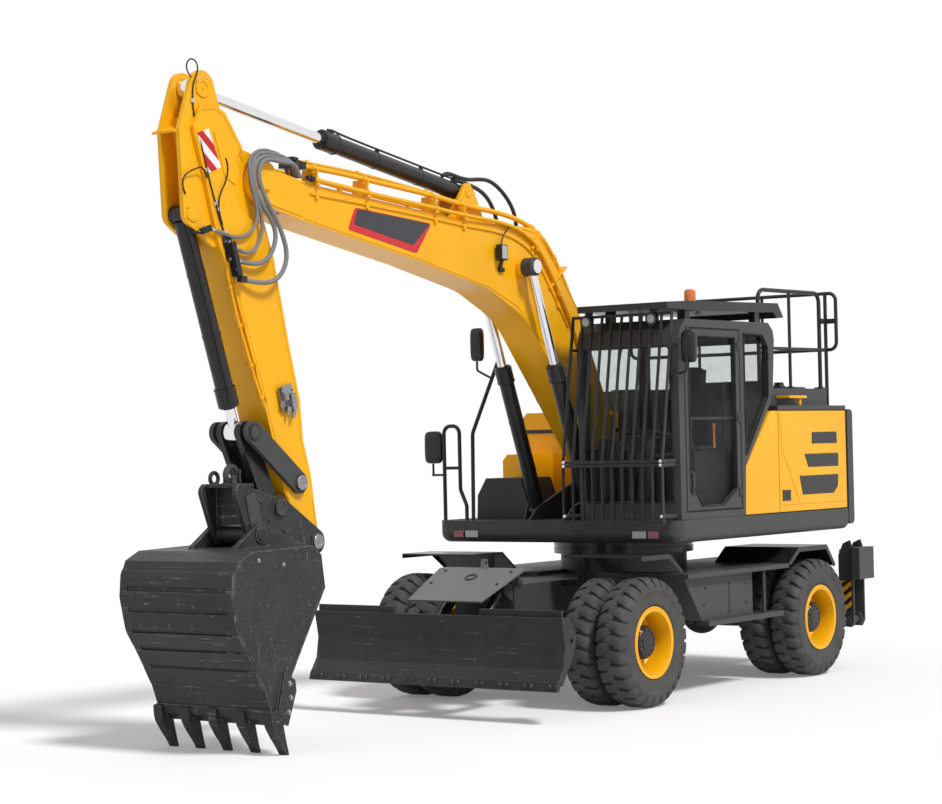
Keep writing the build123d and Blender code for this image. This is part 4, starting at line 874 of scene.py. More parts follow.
runs = [
    (17, [(4260, 52, 4160), (3930, 52, 4134), (3606, 52, 4104), (2741, 52, 4046), (2357, 52, 4012),
          (1720, 52, 3984), (1370, 52, 3870), (1150, 52, 3640), (821, 54, 3201), (520, 54, 2640)]),
    (21, [(4330, 4, 4256), (3866, 4, 4240), (3541, 4, 4212), (2670, 4, 4150), (2285, 2, 4100),
          (1660, 2, 4066), (1236, 2, 3960), (974, 2, 3715), (687, 2, 3286), (420, 2, 2800)]),
    (13, [(4330, -52, 4300), (3792, -52, 4276), (3464, -52, 4256), (2725, -52, 4186), (2285, -52, 4120),
          (1680, -52, 4082), (1236, -52, 3985), (960, -52, 3730), (670, -52, 3290), (400, -52, 2800)]),
    (13, [(4330, -230, 4240), (3792, -230, 4190), (3464, -230, 4150), (2340, -230, 4060), (1680, -230, 4040),
          (1250, -230, 3930), (980, -230, 3690), (690, -230, 3260), (420, -230, 2760)]),
    (9, [(4260, 36, 4050), (3606, 36, 4018), (2741, 36, 3962), (2357, 36, 3930), (1760, 36, 3906),
         (1400, 36, 3790), (1180, 36, 3560), (860, 38, 3150)]),
]
lines = [line_of(route) for radius, route in runs]
for number, (radius, route) in enumerate(runs, 1):
    pipes(f"boom_pipe_{number}", [route], radius, "yellow_paint", "boom")

brackets = Shape()
for x in (4190, 3590, 2725, 2340, 1330, 1010):
    for line, (radius, route) in zip(lines, runs):
        place, along = at_x(line, x)
        brackets.turn(place - along * 16, along, [(0, radius + 6), (32, radius + 6)], 20)
        brackets.slanted(place + Vector((0, 0, -radius - 10)), along, Y, (34, 30, 22))
        brackets.bolt(place + Vector((0, 0, radius + 4)), Z, 6)
    top = at_x(lines[1], x)[0]
    low, along = at_x(lines[0], x)
    floor_z = hit("boom", (x, 0, 5000), (0, 0, -1))[0].z if x > 1400 else low.z - 40
    size = (16, 150, max(30, top.z - floor_z - 4))
    brackets.slanted((top.x, -22, (top.z + floor_z) / 2 - 8), along, Y, size)
    brackets.slanted((low.x, 38, low.z - 20), along, Y, (40, 26, 16))
brackets.done("boom_pipe_brackets", "yellow_paint", "boom", 1.5)

ends = Shape()
for line, (radius, route) in zip(lines[:3], runs):
    place = line[0]
    toward = unit(line[1], place)
    nut = [(0, radius + 5), (22, radius + 5), (24, radius + 9), (48, radius + 9)]
    ends.turn(place - toward * 30, toward, nut, 6)
    ends.turn(place + toward * 16, toward, [(0, radius + 1), (34, radius + 1), (38, radius - 3)], 20)
ends.slanted((4345, -60, 4262), (1, 0, 0.1), Y, (120, 170, 56))
ends.slanted((4380, -40, 4302), (1, 0, 0.1), Y, (60, 90, 30))
for y in (-110, -60, -10):
    ends.bolt((4350, y, 4290), Z, 9)
ends.done("boom_hose_block", "black_paint", "boom", 2)

doubler = Shape()
for low, high in ((BOOM_FACE - 1, BOOM_FACE + 6), (BOOM_BACK - 6, BOOM_BACK + 1)):
    doubler.prism([(4352, 3872), (4352, 4112), (4560, 4150), (4800, 4200), (4890, 4160), (4920, 4105),
                   (4900, 4030), (4830, 3965), (4640, 3925)], low, high)
doubler.done("boom_tip_plates", "yellow_paint", "boom", 3)
seams = Shape()
for y in (BOOM_FACE, BOOM_BACK):
    for line in ([(840, 2500), (1180, 2960), (1600, 3300), (2000, 3448), (2907, 3627), (4330, 3861)],
                 [(700, 3300), (1010, 3660), (1290, 3930), (1500, 3955), (2334, 3957), (4231, 4104),
                  (4350, 4128)]):
        seams.tube(at_y(y, line), 5, 6)
seams.done("boom_weld_seams", "yellow_paint", "boom")

plate = Shape()
plate.prism([(2782, 3905), (2795, 3922), (3712, 3984), (3736, 3972), (3812, 3826), (3800, 3808), (3000, 3678),
             (2962, 3680)], BOOM_FACE - 1, BOOM_FACE + 4)
plate.done("boom_panel_edge", "red_panel", "boom", 2)
plate = Shape()
plate.prism([(2800, 3908), (2810, 3918), (3690, 3976), (3704, 3966), (3744, 3866), (3736, 3852), (3034, 3738),
             (3004, 3742)], BOOM_FACE + 3, BOOM_FACE + 6)
plate.done("boom_panel", "dark_panel", "boom", 1)

lamp = Shape()
lamp.slanted((1868, 74, 3736), (1, 0.15, 0), Z, (104, 128, 62))
lamp.slanted((1860, 60, 3672), X, Z, (60, 12, 44))
lamp.slanted((1840, 46, 3640), (1, 0, 0.5), Z, (26, 90, 12))
lamp.slanted((1838, 42, 3596), X, Z, (70, 40, 26))
lamp.done("boom_lamp_body", "black_paint", "boom", 8)
glass_disc = Shape()
glass_disc.slanted((1873, 105, 3736), (1, 0.15, 0), Z, (88, 110, 8))
glass_disc.done("boom_lamp_lens", "clear_lens", "boom", 3)
lamp_wire = [(1868, 70, 3800), (1850, 66, 3850), (1800, 58, 3910), (1730, 54, 3955), (1650, 50, 3975)]
pipes("boom_lamp_wire", [lamp_wire], 5, "soft_rubber", "boom")


# ---------------------------------------------------------------- hoses
HOSE_SIDES = 14


def hose(name, route, radius, material, body, other=None):
    """A free hose along one NURBS line, as a tube with its own coordinates for the weave."""
    line = line_of(route)
    mesh = bpy.data.meshes.new(name)
    verts, faces, marks = [], [], []
    side = None
    run = 0.0
    for i, place in enumerate(line):
        along = unit(line[max(i - 1, 0)], line[min(i + 1, len(line) - 1)])
        side = carried(side, along)
        other_side = along.cross(side)
        before, run = run, run + (place - line[max(i - 1, 0)]).length
        for a in around(HOSE_SIDES):
            verts.append(mm(*(place + radius * (math.cos(a) * side + math.sin(a) * other_side))))
        if i:
            low = (i - 1) * HOSE_SIDES
            for k in range(HOSE_SIDES):
                j = (k + 1) % HOSE_SIDES
                faces.append((low + k, low + j, low + HOSE_SIDES + j, low + HOSE_SIDES + k))
                u, v = k / HOSE_SIDES, (k + 1) / HOSE_SIDES
                marks += [(u, before / 1000), (v, before / 1000), (v, run / 1000), (u, run / 1000)]
    faces += [tuple(range(HOSE_SIDES))[::-1], tuple(range(len(verts) - HOSE_SIDES, len(verts)))]
    marks += [(0, 0)] * (2 * HOSE_SIDES)
    mesh.from_pydata(verts, [], faces)
    mesh.uv_layers.new(name="weave").data.foreach_set("uv", [c for mark in marks for c in mark])
    mesh.materials.append(finish[material])
    mesh.polygons.foreach_set("use_smooth", [True] * len(mesh.polygons))
    piece = bpy.data.objects.new(name, mesh)
    bpy.context.scene.collection.objects.link(piece)
    if other:
        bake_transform(piece)
    else:
        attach(piece, body)
    return line


hoses = [
    ("outer", 17, [(4345, 12, 4166), (4390, 20, 4236), (4470, 44, 4262), (4570, 60, 4256), (4680, 68, 4260),
                   (4780, 74, 4262), (4852, 76, 4226), (4884, 78, 4140), (4860, 80, 4050), (4800, 82, 3945),
                   (4700, 84, 3830), (4640, 86, 3715), (4600, 88, 3610), (4610, 88, 3500), (4690, 86, 3400),
                   (4800, 82, 3358), (4920, 64, 3360), (5000, 40, 3370), (5062, 26, 3380)]),
    ("middle", 17, [(4345, -20, 4166), (4386, -16, 4244), (4450, 10, 4280), (4540, 44, 4276),
                    (4654, 56, 4280), (4760, 58, 4290), (4852, 58, 4264), (4907, 58, 4200), (4914, 58, 4110),
                    (4884, 58, 4020), (4820, 58, 3920), (4730, 58, 3830), (4680, 58, 3735), (4700, 58, 3630),
                    (4770, 56, 3535), (4880, 52, 3492), (5000, 42, 3498), (5064, 30, 3508),
                    (5116, 26, 3518)]),
    ("inner", 14, [(4345, -60, 4166), (4384, -56, 4250), (4440, -30, 4296), (4520, 8, 4306), (4624, 28, 4310),
                   (4740, 34, 4316), (4842, 38, 4298), (4907, 50, 4240), (4930, 54, 4160), (4914, 54, 4060),
                   (4876, 54, 3960), (4826, 52, 3850), (4812, 46, 3750), (4850, 40, 3640), (4930, 34, 3574),
                   (5030, 28, 3570), (5130, 24, 3628)]),
    ("bucket", 13, [(4345, -100, 4166), (4382, -98, 4256), (4436, -76, 4306), (4520, -30, 4324),
                    (4623, 4, 4330), (4750, 12, 4340), (4858, 20, 4308), (4928, 34, 4246), (4948, 48, 4170),
                    (4932, 50, 4070), (4890, 48, 3960), (4856, 42, 3850), (4890, 34, 3755), (4980, 28, 3690),
                    (5090, 24, 3674), (5200, 18, 3698), (5280, 4, 3718), (5345, -6, 3732)]),
]
for name, radius, route in hoses:
    line = hose(f"arm_hose_{name}", route, radius, "braid", "boom", "arm")
    toward = unit(line[-1], line[-2])
    fitting = Shape()
    nut = [(0, radius + 1), (30, radius + 1), (31, radius + 4), (52, radius + 4)]
    fitting.turn(line[-1] - toward * 34, toward, nut, 6)
    fitting.turn(line[-1] + toward * 16, toward, [(0, radius + 3), (44, radius + 3), (50, radius + 1)], 20)
    fitting.done(f"arm_hose_{name}.arm_end", "zinc", "arm", 1)

for name, route in (("upper", [(1425, -90, 3975), (1430, -90, 4060), (1480, -90, 4150), (1565, -92, 4236),
                               (1680, -96, 4312), (1800, -100, 4354), (1930, -104, 4352), (2060, -106, 4336),
                               (2180, -108, 4342), (2290, -110, 4362), (2380, -110, 4368),
                               (2425, -110, 4340)]),
                    ("lower", [(1790, -24, 3975), (1812, -24, 4050), (1870, -24, 4140), (1950, -24, 4210),
                               (2040, -26, 4250), (2120, -40, 4276), (2200, -90, 4312), (2262, -110, 4318)])):
    hose(f"cylinder_hose_{name}", route, 17, "hose_rubber", "boom", "arm_barrel")

# ---------------------------------------------------------------- arm
stripe = Shape()
stripe.prism([(5438, 4398), (5319, 4439), (5196, 4172), (5329, 4122)], -1, 2.5)
stripe.done("arm_stripe_panel", "red_white", "arm", 1)
seams = Shape()
for y in (0, -280):
    for line in ([(5452, 4424), (5345, 4120), (5270, 3860), (5196, 3608), (5080, 3380), (4780, 2576),
                  (4552, 1850)],
                 [(4215, 1500), (4306, 1968), (4385, 2218), (4410, 2506), (4518, 2908), (4666, 3530)],
                 [(4945, 4272), (5155, 4548), (5240, 4588), (5392, 4566)]):
        seams.tube(at_y(y, line), 5, 6)
for y in (-32, -248):
    seams.tube([(5240, y, 4560), (5330, y, 4602), (5440, y, 4560), (5520, y, 4440)], 5, 6)
seams.done("arm_weld_seams", "yellow_paint", "arm")
plates = Shape()
for low, high in ((-1, 7), (-287, -279)):
    for outline in ([(4240, 1430), (4400, 1450), (4560, 1830), (4610, 2010), (4330, 2040), (4290, 1930)],
                    [(5178, 4460), (5110, 4390), (5000, 4150), (5060, 4060), (5160, 4110), (5270, 4420)]):
        plates.prism(outline, low, high)
plates.done("arm_doubler_plates", "yellow_paint", "arm", 2.5)
arm_pipes = [[(5124, -10, 3540), (5150, -12, 3470), (5112, -14, 3330), (5040, -14, 3101), (4962, -14, 2909),
              (4884, -14, 2715), (4822, -14, 2571), (4760, -14, 2450)],
             [(5090, -46, 3480), (5120, -48, 3420), (5096, -48, 3330), (5028, -48, 3101), (4952, -48, 2909),
              (4876, -48, 2715), (4814, -48, 2571), (4750, -48, 2440)]]
pipes("arm_pipes", arm_pipes, 12, "yellow_paint", "arm")
clips = Shape()
for z in (3330, 3050, 2760, 2520):
    for route in arm_pipes:
        line = line_of(route)
        near = min(range(1, len(line)), key=lambda i: abs(line[i].z - z))
        along = unit(line[near], line[near - 1])
        clips.turn(line[near] - along * 14, along, [(0, 18), (28, 18)], 18)
    clips.slanted(line[near] + Vector((-16, 18, 0)), along, Y, (34, 96, 12))
    clips.bolt(line[near] + Vector((4, 17, 0)), X, 7)
clips.done("arm_pipe_clips", "yellow_paint", "arm", 1.5)
block = Shape()
block.slanted((5122, 40, 3520), (0.3, 0, 1), Y, (250, 66, 46))
block.slanted((5060, 60, 3376), (1, 0, 0.1), Y, (60, 46, 46))
block.slanted((5382, 14, 3716), (1, -0.3, -0.4), Z, (80, 44, 44))
for z in (3440, 3560, 3620):
    block.bolt((5140, 72, z), Y, 9)
block.slanted((5140, 3, 3600), (0.3, 0, 1), Y, (180, 14, 90))
block.done("arm_hose_block", "black_paint", "arm", 3)
port_pipe = [(5400, 4, 3700), (5440, -10, 3690), (5456, -50, 3700), (5456, -72, 3735)]
pipes("arm_port_pipe", [port_pipe], 13, "black_paint", "arm")
valve = Shape()
valve.slanted((4560, 22, 2528), (0.25, 0, 1), Y, (180, 14, 150))
valve.slanted((4520, 44, 2500), (0.25, 0, 1), Y, (120, 46, 52))
valve.slanted((4600, 40, 2560), (0.25, 0, 1), Y, (100, 38, 46))
for x, z in ((4500, 2440), (4556, 2462), (4612, 2620)):
    valve.turn((x, 46, z), (0.25, 0, -1), [(0, 17), (36, 17), (37, 13), (60, 13)], 6)
for x, z in ((4500, 2590), (4630, 2470)):
    valve.bolt((x, 29, z), Y, 9)
valve.done("arm_valve", "pin_steel", "arm", 2)
for name, route in (
        ("ear", [(5459, -26, 4789), (5500, -24, 4822), (5514, -22, 4880), (5466, -22, 4928),
                 (5402, -22, 4908), (5392, -22, 4840), (5426, -22, 4780), (5446, -24, 4731),
                 (5450, -26, 4629), (5438, -24, 4511), (5412, -10, 4405), (5394, 8, 4283), (5350, 9, 4142),
                 (5318, 9, 4040), (5277, 9, 3934), (5219, 9, 3770), (5158, 9, 3660)]),
        ("side", [(5155, 9, 4244), (5128, 12, 4190), (5150, 12, 4089), (5210, 11, 4000), (5238, 10, 3930),
                  (5236, 9, 3850), (5200, 9, 3760)]),
        ("lip", [(5352, 9, 4085), (5380, 12, 4135), (5420, 12, 4160), (5464, 8, 4141), (5520, 0, 4120),
                 (5572, -14, 4080), (5574, -24, 4010), (5540, -26, 3960)])):
    hose(f"grease_line_{name}", route, 5.5, "soft_rubber", "arm")
clips = Shape()
for x, y, z in ((5450, -29, 4629), (5350, 3, 4142), (5270, 3, 3910), (5180, 3, 3710), (5238, 3, 3870)):
    clips.slanted((x, y + 4, z), (0.3, 0, 1), Y, (26, 10, 34))
    clips.bolt((x + 10, y + 8, z), Y, 6)
for x, z in ((5287, 4805), (5356, 4800), (5420, 4770), (5450, 4700)):
    clips.bolt((x, -33, z), Y, 8)
clips.done("arm_clips", "zinc", "arm")

# ---------------------------------------------------------------- bucket and coupler
BUCKET_MIDDLE = Vector((5150, 0, 950))
BUCKET_SIDES = ((1, 427), (-1, -707))
TOOTH_PITCH = 265
# a tooth's section from root to tip: its back and front as (x, z), and half its width
TOOTH = [((5176, 330), (5262, 318), 50), ((5150, 262), (5256, 246), 52), ((5138, 200), (5248, 206), 48),
         ((5116, 120), (5200, 130), 44), ((5096, 60), (5150, 66), 41), ((5076, 2), (5104, 2), 39)]


def shell_plate(shape, path, low, high, thick):
    """A plate that follows the bucket's back along an XZ path, from y low to y high."""
    inner, outer = [], []
    for x, z in path:
        out = (Vector((x, 0, z)) - BUCKET_MIDDLE).normalized()
        start = BUCKET_MIDDLE + out * 900
        spot = hit("bucket", (start.x, (low + high) / 2, start.z), -out)[0]
        spot.y = 0
        inner.append(spot - out * 3)
        outer.append(spot + out * thick)
    ring = inner + outer[::-1]
    shape.loops([[Vector((p.x, y, p.z)) for p in ring] for y in (low, high)])


def along_path(path, start, end, step=32):
    """Places along an XZ path between two lengths."""
    places, run = [], 0.0
    for (xa, za), (xb, zb) in zip(path, path[1:]):
        span = math.hypot(xb - xa, zb - za)
        share = [min(max((length - run) / span, 0), 1) for length in (start, end)]
        if share[1] > share[0]:
            count = max(1, round((share[1] - share[0]) * span / step))
            for k in range(count + 1):
                t = share[0] + (share[1] - share[0]) * k / count
                places.append((xa + (xb - xa) * t, za + (zb - za) * t))
        run += span
    return [place for n, place in enumerate(places) if n == 0 or math.dist(place, places[n - 1]) > 2]


shell_back = [(5560, 1320), (5582, 1268), (5594, 1117), (5538, 884), (5417, 704), (5290, 474)]
strips = Shape()
for k in range(6):
    start = 20 + 148 * k
    shell_plate(strips, along_path(shell_back, start, start + 112), -678, 398, 15)
for low, high in ((-684, -616), (336, 404)):
    shell_plate(strips, along_path(shell_back, 8, 905), low, high, 8)
strips.done("bucket_wear_strips", "tool_steel", "bucket", 2)
teeth = Shape()
for n in range(-2, 3):
    y = BOOM_Y + n * TOOTH_PITCH
    teeth.loops([[(a[0], y - h, a[1]), (b[0], y - h * 0.8, b[1]), (b[0], y + h * 0.8, b[1]),
                  (a[0], y + h, a[1])]
                 for a, b, h in TOOTH])
    teeth.turn((5196, y - 58, 238), Y, [(0, 12), (116, 12)], 12)
teeth.done("bucket_teeth", "tool_steel", "bucket", 4)
cutters = Shape()
for hand, face in BUCKET_SIDES:
    for x, z in ((5060, 500), (5050, 400), (5075, 300)):
        cutters.bolt((x, face - hand, z), (0, hand, 0), 17)
    for x, z in ((5070, 1340), (5330, 1380)):
        cutters.disc((x, face - hand * 23, z), (0, hand, 0), 16, 5)
cutters.done("bucket_bolts", "pin_steel", "bucket", 1)
seams = Shape()
for y in (405, -685):
    seams.tube(at_y(y, ((4665, 1385), (4758, 1452), (5398, 1436), (5532, 1374), (5582, 1268), (5594, 1117),
                        (5538, 884), (5417, 704), (5290, 474), (5212, 270))), 6, 6)
    seams.tube(at_y(y, ((4650, 1160), (4800, 905), (4990, 590))), 8, 6)
seams.done("bucket_weld_seams", "tool_steel", "bucket")
fittings = Shape()
for hand, face in ((1, 44), (-1, -324)):
    for x, z in ((4560, 1500), (4640, 1560), (4800, 1640), (4900, 1780), (5010, 1700)):
        fittings.bolt((x, face, z), (0, hand, 0), 13)
    fittings.prism([(4880, 1600), (5010, 1600), (5060, 1820), (4960, 1850)],
                   *sorted((face - hand, face + hand * 8)))
fittings.slanted((4770, BOOM_Y, 1580), (1, 0, 0.4), Y, (190, 120, 96))
fittings.slanted((4850, BOOM_Y, 1660), (0.4, 0, 1), Y, (120, 90, 70))
fittings.turn((5040, BOOM_Y + 60, 1905), Z, [(0, 26), (20, 26), (24, 20), (60, 20), (66, 14)], 20)
fittings.turn((5005, BOOM_Y - 30, 1905), Z, [(0, 34), (46, 34), (52, 28)], 24)
fittings.done("coupler_fittings", "dark_paint", "bucket", 3)
hook = Shape()
hook.ring((5020, BOOM_Y + 20, 1976), Y, 58, 24, 28)
hook.slanted((5020, BOOM_Y + 20, 1900), X, Y, (150, 60, 40))
hook.done("coupler_hook", "dark_paint", "bucket", 2)
pipes("coupler_hose",
      [[(4840, -60, 1680), (4900, -60, 1760), (4960, -70, 1850), (4985, -80, 1940), (4960, -90, 2010)],
       [(4840, -200, 1680), (4900, -200, 1760), (4955, -196, 1850), (4975, -190, 1930)]],
      11, "hose_rubber", "bucket")

# ---------------------------------------------------------------- cab
CAB_FACE = 1235
SEAT_Y = 730
seals = Shape()
for body_y, outline in ((CAB_FACE + 1, [(-60, 3060), (-390, 3055), (-480, 2950), (-470, 2520), (-60, 2010)]),
                        (234, [(40, 2080), (920, 2080), (920, 3000), (860, 3060), (40, 3060)]),
                        (234, [(-60, 3060), (-390, 3055), (-480, 2950), (-470, 2560), (-60, 2080)])):
    seals.tube(at_y(body_y, outline, True), 9, 8)
front_window = ((300, 1640), (1170, 1640), (1170, 2930), (300, 2930), (300, 1640))
seals.tube([(1031, y, z) for y, z in front_window], 10, 8)
seals.done("window_seals", "soft_rubber", "upper")
door = Shape()
door_pane = ((105, 1730), (330, 1600), (700, 1600), (870, 1830), (870, 3020), (100, 3020))
door_rim = ((24, 1564), (931, 1564), (931, 2899), (897, 3006), (828, 3081), (24, 3081))
door.tube(at_y(CAB_FACE + 1, door_pane, True), 9, 8)
door.tube(at_y(CAB_FACE - 1, door_rim, True), 4, 6)
door.done("door_seals", "soft_rubber", "cab_door")
handle = Shape()
recess = [(796, 1690), (858, 1676), (888, 1740), (880, 1880), (846, 1906), (806, 1880)]
handle.prism(recess, CAB_FACE - 2, CAB_FACE + 3)
handle.done("door_handle_recess", "black_paint", "cab_door", 3)
handle = Shape()
handle.slanted((842, 1243, 1790), (-0.05, 0, 1), Y, (170, 12, 30))
handle.slanted((838, 1240, 1716), X, Y, (46, 14, 18))
handle.done("door_handle", "rail_grey", "cab_door", 4)
hinges = Shape()
for z in (1700, 2330, 2950):
    hinges.turn((20, CAB_FACE + 1, z - 45), Z, [(0, 13), (90, 13)], 18)
    hinges.slanted((50, 1240, z), X, Y, (44, 8, 70))
    for lift in (18, -18):
        hinges.bolt((52, 1244, z + lift), Y, 7)
hinges.done("door_hinges", "dark_paint", "cab_door", 1.5)
rails = Shape()
rails.tube([(160, 1190, 2120), (160, 1150, 2150), (160, 1150, 2600), (160, 1190, 2640)], 13, 10)
rails.tube([(100, 1200, 2330), (870, 1200, 2330)], 14, 8)
rails.done("door_grab_rails", "rail_grey", "cab_door", 2)

lamps, lenses = Shape(), Shape()
for y in (379, 1026):
    lamps.turn((1040, y, 3172), (1, 0, -0.12), [(0, 30), (20, 52), (58, 58), (66, 56)], 28)
    lamps.slanted((1050, y, 3226), X, Y, (34, 60, 30))
    lenses.turn((1104, y, 3164), (1, 0, -0.12), [(0, 36), (4, 36), (9, 28), (11, 1)], 28)
lamps.done("cab_lamp_bodies", "black_paint", "upper", 2)
lenses.done("cab_lamp_lenses", "clear_lens", "upper")
beacon = Shape()
beacon.turn((258, 900, 3340), Z, [(0, 52), (86, 51), (102, 45), (112, 26), (114, 1)], 32)
beacon.done("beacon_dome", "amber_lens", "upper")
wiper = Shape()
wiper.tube([(1040, 700, 2940), (1052, 690, 2890), (1046, 560, 2180)], 7, 8)
wiper.slanted((1044, 590, 2330), (0, -0.18, -1), X, (620, 22, 14))
wiper.done("wiper", "soft_rubber", "upper", 1)

guard = Shape()
for y in (239, 1195):
    for z in (1531, 1952, 1984):
        guard.turn((1250, y, z), X, [(0, 15), (34, 15), (38, 12), (39, 6), (39, 1)], 20)
        guard.turn((1040, y, z), X, [(0, 15), (180, 15)], 16)
guard.done("guard_bolts", "zinc", "upper", 1)



def band(front, back, wide, shares):
    """One section of a cushion: across its front and back again, from the (x, z) of each."""
    return [(x, SEAT_Y + wide * s, z) for (x, z), row in ((front, shares), (back, shares[::-1])) for s in row]


def reclined(x, z):
    return x - 0.28 * (z - 1990)


WIDE, NARROW = (-1, -0.7, 0, 0.7, 1), (-1, -0.6, 0.6, 1)
seat = Shape()
seat.loops([band((x, z), (x, z - thick), wide, WIDE)
            for x, wide, z, thick in ((70, 200, 2030, 90), (130, 225, 2044, 100), (320, 232, 2036, 110),
                                      (500, 220, 2046, 100), (566, 190, 2020, 60))])
seat.loops([band((reclined(x, z) + crown, z), (reclined(x, z) - 95, z), wide, WIDE)
            for x, crown, wide, z in ((170, 10, 200, 2040), (180, 20, 225, 2120), (190, 14, 232, 2300),
                                      (190, 20, 215, 2480), (185, 4, 170, 2570))])
seat.loops([band((x, z), (x - 90, z), wide, NARROW)
            for x, wide, z in ((28, 100, 2600), (34, 132, 2650), (24, 130, 2740), (6, 96, 2790))])
seat_piece = seat.done("seat_cushions", "seat_cloth", "upper")
rounding = seat_piece.modifiers.new("padding", "SUBSURF")
rounding.levels = rounding.render_levels = 2
levers = Shape()
joystick = [(0, 46), (10, 44), (60, 20), (150, 17), (170, 27), (250, 30), (272, 20)]
for y in (395, 1060):
    levers.turn((570, y, 2060), (0.08, 0, 1), joystick, 20)
    levers.slanted((330, y, 2080), X, Y, (420, 96, 40))
levers.slanted((840, 420, 2060), (0, 0.2, 1), Y, (220, 230, 40))
levers.slanted((690, SEAT_Y, 1568), (1, 0, 0.2), Y, (260, 260, 20))
levers.done("cab_controls", "interior_plastic", "upper", 8)
lever = Shape()
lever.turn((300, 1130, 2080), Z, [(0, 12), (150, 10), (190, 16), (210, 14)], 14)
lever.done("safety_lever", "amber_lens", "upper", 2)

mirror_heads, mirror_glass = Shape(), Shape()
for x, y, z in (((985, 1050), (1262, 1400), (2790, 3060)), ((1020, 1080), (-1400, -1215), (1990, 2280)),
                ((1020, 1080), (-870, -740), (2880, 3175))):
    cy, cz = sum(y) / 2, sum(z) / 2
    wide, tall = (y[1] - y[0]) / 2, (z[1] - z[0]) / 2
    rows = []
    for along, share in ((x[0], 0.93), (x[0] + 12, 1.0), (x[1] - 22, 0.97), (x[1] - 6, 0.8), (x[1], 0.5)):
        ring = []
        for a in around(24):
            u, v = math.cos(a), math.sin(a)
            ring.append((along, cy + wide * share * math.copysign(abs(u) ** 0.45, u),
                         cz + tall * share * math.copysign(abs(v) ** 0.35, v)))
        rows.append(ring)
    mirror_heads.loops(rows)
    mirror_glass.slanted((x[0] - 1, cy, cz), Z, Y, (tall * 1.66, wide * 1.64, 4))
mirror_heads.slanted((1046, 1216, 2700), Z, Y, (44, 36, 34))
mirror_heads.tube([(1050, 1225, 2700), (1050, 1318, 2716), (1050, 1330, 2740), (1050, 1330, 3080),
                   (1020, 1330, 3090)], 10, 10)
mirror_heads.done("mirror_heads", "black_paint", "upper", 2, replaces=("mirrors",))
mirror_glass.done("mirror_glass", "mirror", "upper", 1)

# ---------------------------------------------------------------- body
louvre_mesh_and_shade = Shape()
slats = Shape()
for outline, rows in (([(-1254, 2095), (-1262, 2200), (-1724, 2200), (-1738, 2186), (-1738, 2095)], 4),
                      ([(-1180, 1885), (-1110, 2005), (-1752, 2005), (-1760, 1996), (-1760, 1885)], 5),
                      ([(-1065, 1640), (-1010, 1810), (-1752, 1810), (-1740, 1700), (-1655, 1640)], 6)):
    # a black plate fills each vent behind its slats: it stands for the mesh there, and is painted shade for the
    # dark openings between the slats
    louvre_mesh_and_shade.prism(outline, CAB_FACE - 1, CAB_FACE + 2.5)
    low, high = min(z for _, z in outline), max(z for _, z in outline)
    for k in range(rows):
        z = low + (high - low) * (k + 0.5) / rows
        spans = []
        for (xa, za), (xb, zb) in zip(outline, outline[1:] + outline[:1]):
            if (za - z) * (zb - z) < 0:
                spans.append(xa + (xb - xa) * (z - za) / (zb - za))
        start, end = min(spans), max(spans)
        slats.slanted(((start + end) / 2, CAB_FACE + 3, z), X, (0, 1, -0.6), (end - start - 24, 10, 4))
louvre_mesh_and_shade.done("door_louvre_mesh_and_shade", "black_paint", "left_rear_door", 1)
slats.done("door_louvre_slats", "dark_paint", "left_rear_door", 1)
latch = Shape()
latch.slanted((-765, 1237, 1643), X, Z, (150, 96, 6))
latch.done("door_latch", "black_paint", "left_rear_door", 3)
latch = Shape()
latch.slanted((-790, 1241, 1643), X, Z, (60, 54, 6))
latch.done("door_latch_paddle", "rail_grey", "left_rear_door", 2)
creases = Shape()
creases.tube([(-1900, 1236, 1560), (-700, 1236, 1560)], 3, 6)
creases.tube([(-1000, 1236, 1580), (-700, 1236, 2060), (-660, 1236, 2380)], 3, 6)
creases.done("rear_door_creases", "yellow_paint", "left_rear_door")

lights = {"clear_lens": Shape(), "red_lens": Shape(), "black_paint": Shape()}
for hand in (1, -1):
    for low, high, material in ((791, 936, "clear_lens"), (946, 1062, "red_lens")):
        y = hand * (low + high) / 2
        lights[material].slanted((1104, y, 1373), Y, Z, (high - low - 12, 58, 8))
        lights["black_paint"].slanted((1101, y, 1373), Y, Z, (high - low, 76, 6))
for k in range(4):
    lights["black_paint"].slanted((1102, 250, 1350 + 18 * k), Y, Z, (110, 7, 6))
for material, shape in lights.items():
    shape.done(f"platform_lights.{material.split('_')[0]}", material, "upper", 2)

deck = Shape()
deck.turn((-400, -800, 2478), Z, [(0, 64), (26, 64), (30, 58), (30, 20), (36, 16), (36, 1)], 32)
for a in around(10):
    u, v = math.cos(a), math.sin(a)
    deck.slanted((-400 + 64 * u, -800 + 64 * v, 2492), Z, (u, v, 0), (22, 8, 8))
deck.turn((-1167, 960, 2600), Z, [(0, 66), (12, 66), (34, 48), (52, 46), (56, 40), (56, 1)], 6)
deck.slanted((-880, -500, 2628), X, Y, (40, 300, 12))
deck.done("deck_caps", "black_paint", "upper", 2)
lid = Shape()
lid.prism([(-950, 1050), (-1290, 1050), (-1290, 1180), (-1120, 1240), (-960, 1180)], 2505, 2530, "xy")
lid.turn((-1110, 1200, 2440), Z, [(0, 16), (66, 16)], 16)
lid.done("deck_lid", "yellow_paint", "upper", 5)
feet = Shape()
for x, y in ((-852, 940), (-1373, 970), (-1895, 1000)):
    feet.slanted((x, y, 2607), X, Y, (110, 76, 14))
    for dx in (-38, 38):
        feet.bolt((x + dx, y, 2613), Z, 9)
for y in (1020, 350, -350, -1020):
    feet.slanted((-1985, y, 2412), X, Y, (90, 90, 14))
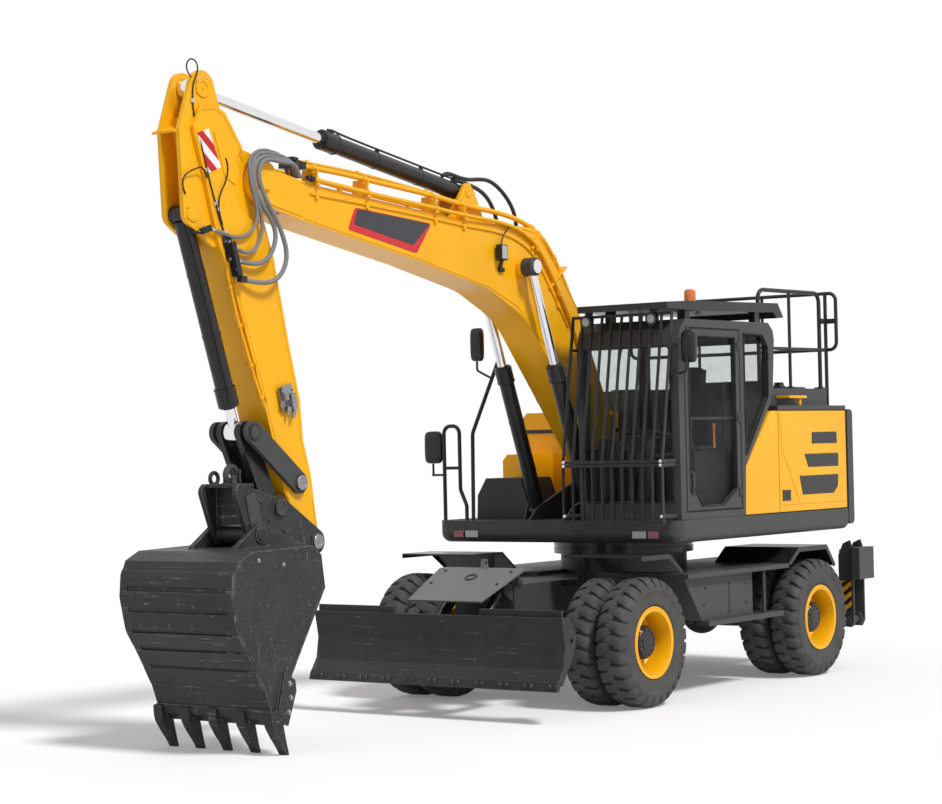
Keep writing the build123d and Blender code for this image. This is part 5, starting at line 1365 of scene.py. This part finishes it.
feet.slanted((-1940, 1012, 3230), (1, 0.2, 0), Y, (150, 40, 46))
feet.slanted((-1985, 1075, 3230), Y, X, (130, 40, 46))
feet.done("rail_feet", "rail_grey", "upper", 2)
tank = Shape()
for y in (-1245, -441):
    tank.slanted((-540, y, 2258), X, Y, (720, 6, 34))
tank.slanted((-158, -840, 2258), Y, X, (796, 6, 34))
tank.done("tank_band", "black_paint", "upper", 1)
tread = Shape()
for x in range(780, 1080, 60):
    for y in range(-1140, -560, 60):
        tread.slanted((x, y, 1491), (1, 1 if (x // 60 + y // 60) % 2 else -1, 0), Z, (34, 4, 8))
tread.done("platform_tread", "dark_paint", "upper")

# ---------------------------------------------------------------- undercarriage
blade = Shape()
for y in range(-1160, 1161, 232):
    for shift in (0, 60):
        blade.bolt((2896, y + shift, 300), X, 13)
blade.done("blade_bolts", "blade_steel", "blade", 1)
cover = Shape()
top = [hit("blade_cover", (x, 0, CLEAR_OF_MACHINE), (0, 0, -1)) for x in (2200, 2400)]
for spot, _ in top:
    for y in (-330, 330):
        place, normal = hit("blade_cover", (spot.x, y, CLEAR_OF_MACHINE), (0, 0, -1))
        cover.bolt(place, normal, 11)
middle = (top[0][0] + top[1][0]) / 2
cover.ring(middle + top[0][1] * 4, top[0][1], 46, 7, 24)
cover.done("blade_cover_fittings", "rail_grey", "chassis", 1)
boxes = Shape()
for hand in (1, -1):
    face = hand * 1150
    boxes.prism([(120, 700), (150, 700), (150, 900), (120, 900)], *sorted((face - hand, face + hand * 3)))
    for x, z in ((-150, 900), (-150, 740), (540, 900), (560, 760), (135, 680), (135, 920)):
        boxes.bolt((x, face, z), (0, hand, 0), 9)
boxes.done("side_box_bolts", "black_paint", "chassis", 1)
for hand, side in SIDES:
    stripes = Shape()
    outline = [(hand * y, z) for y, z in ((985, 520), (1130, 520), (1130, 800), (985, 800))]
    for low, high in ((-2161, -2158), (-2402, -2399)):
        stripes.prism(outline, low, high, "yz")
    stripes.done(f"outrigger_stripes_{side}", "black_yellow", f"outrigger_{side}")
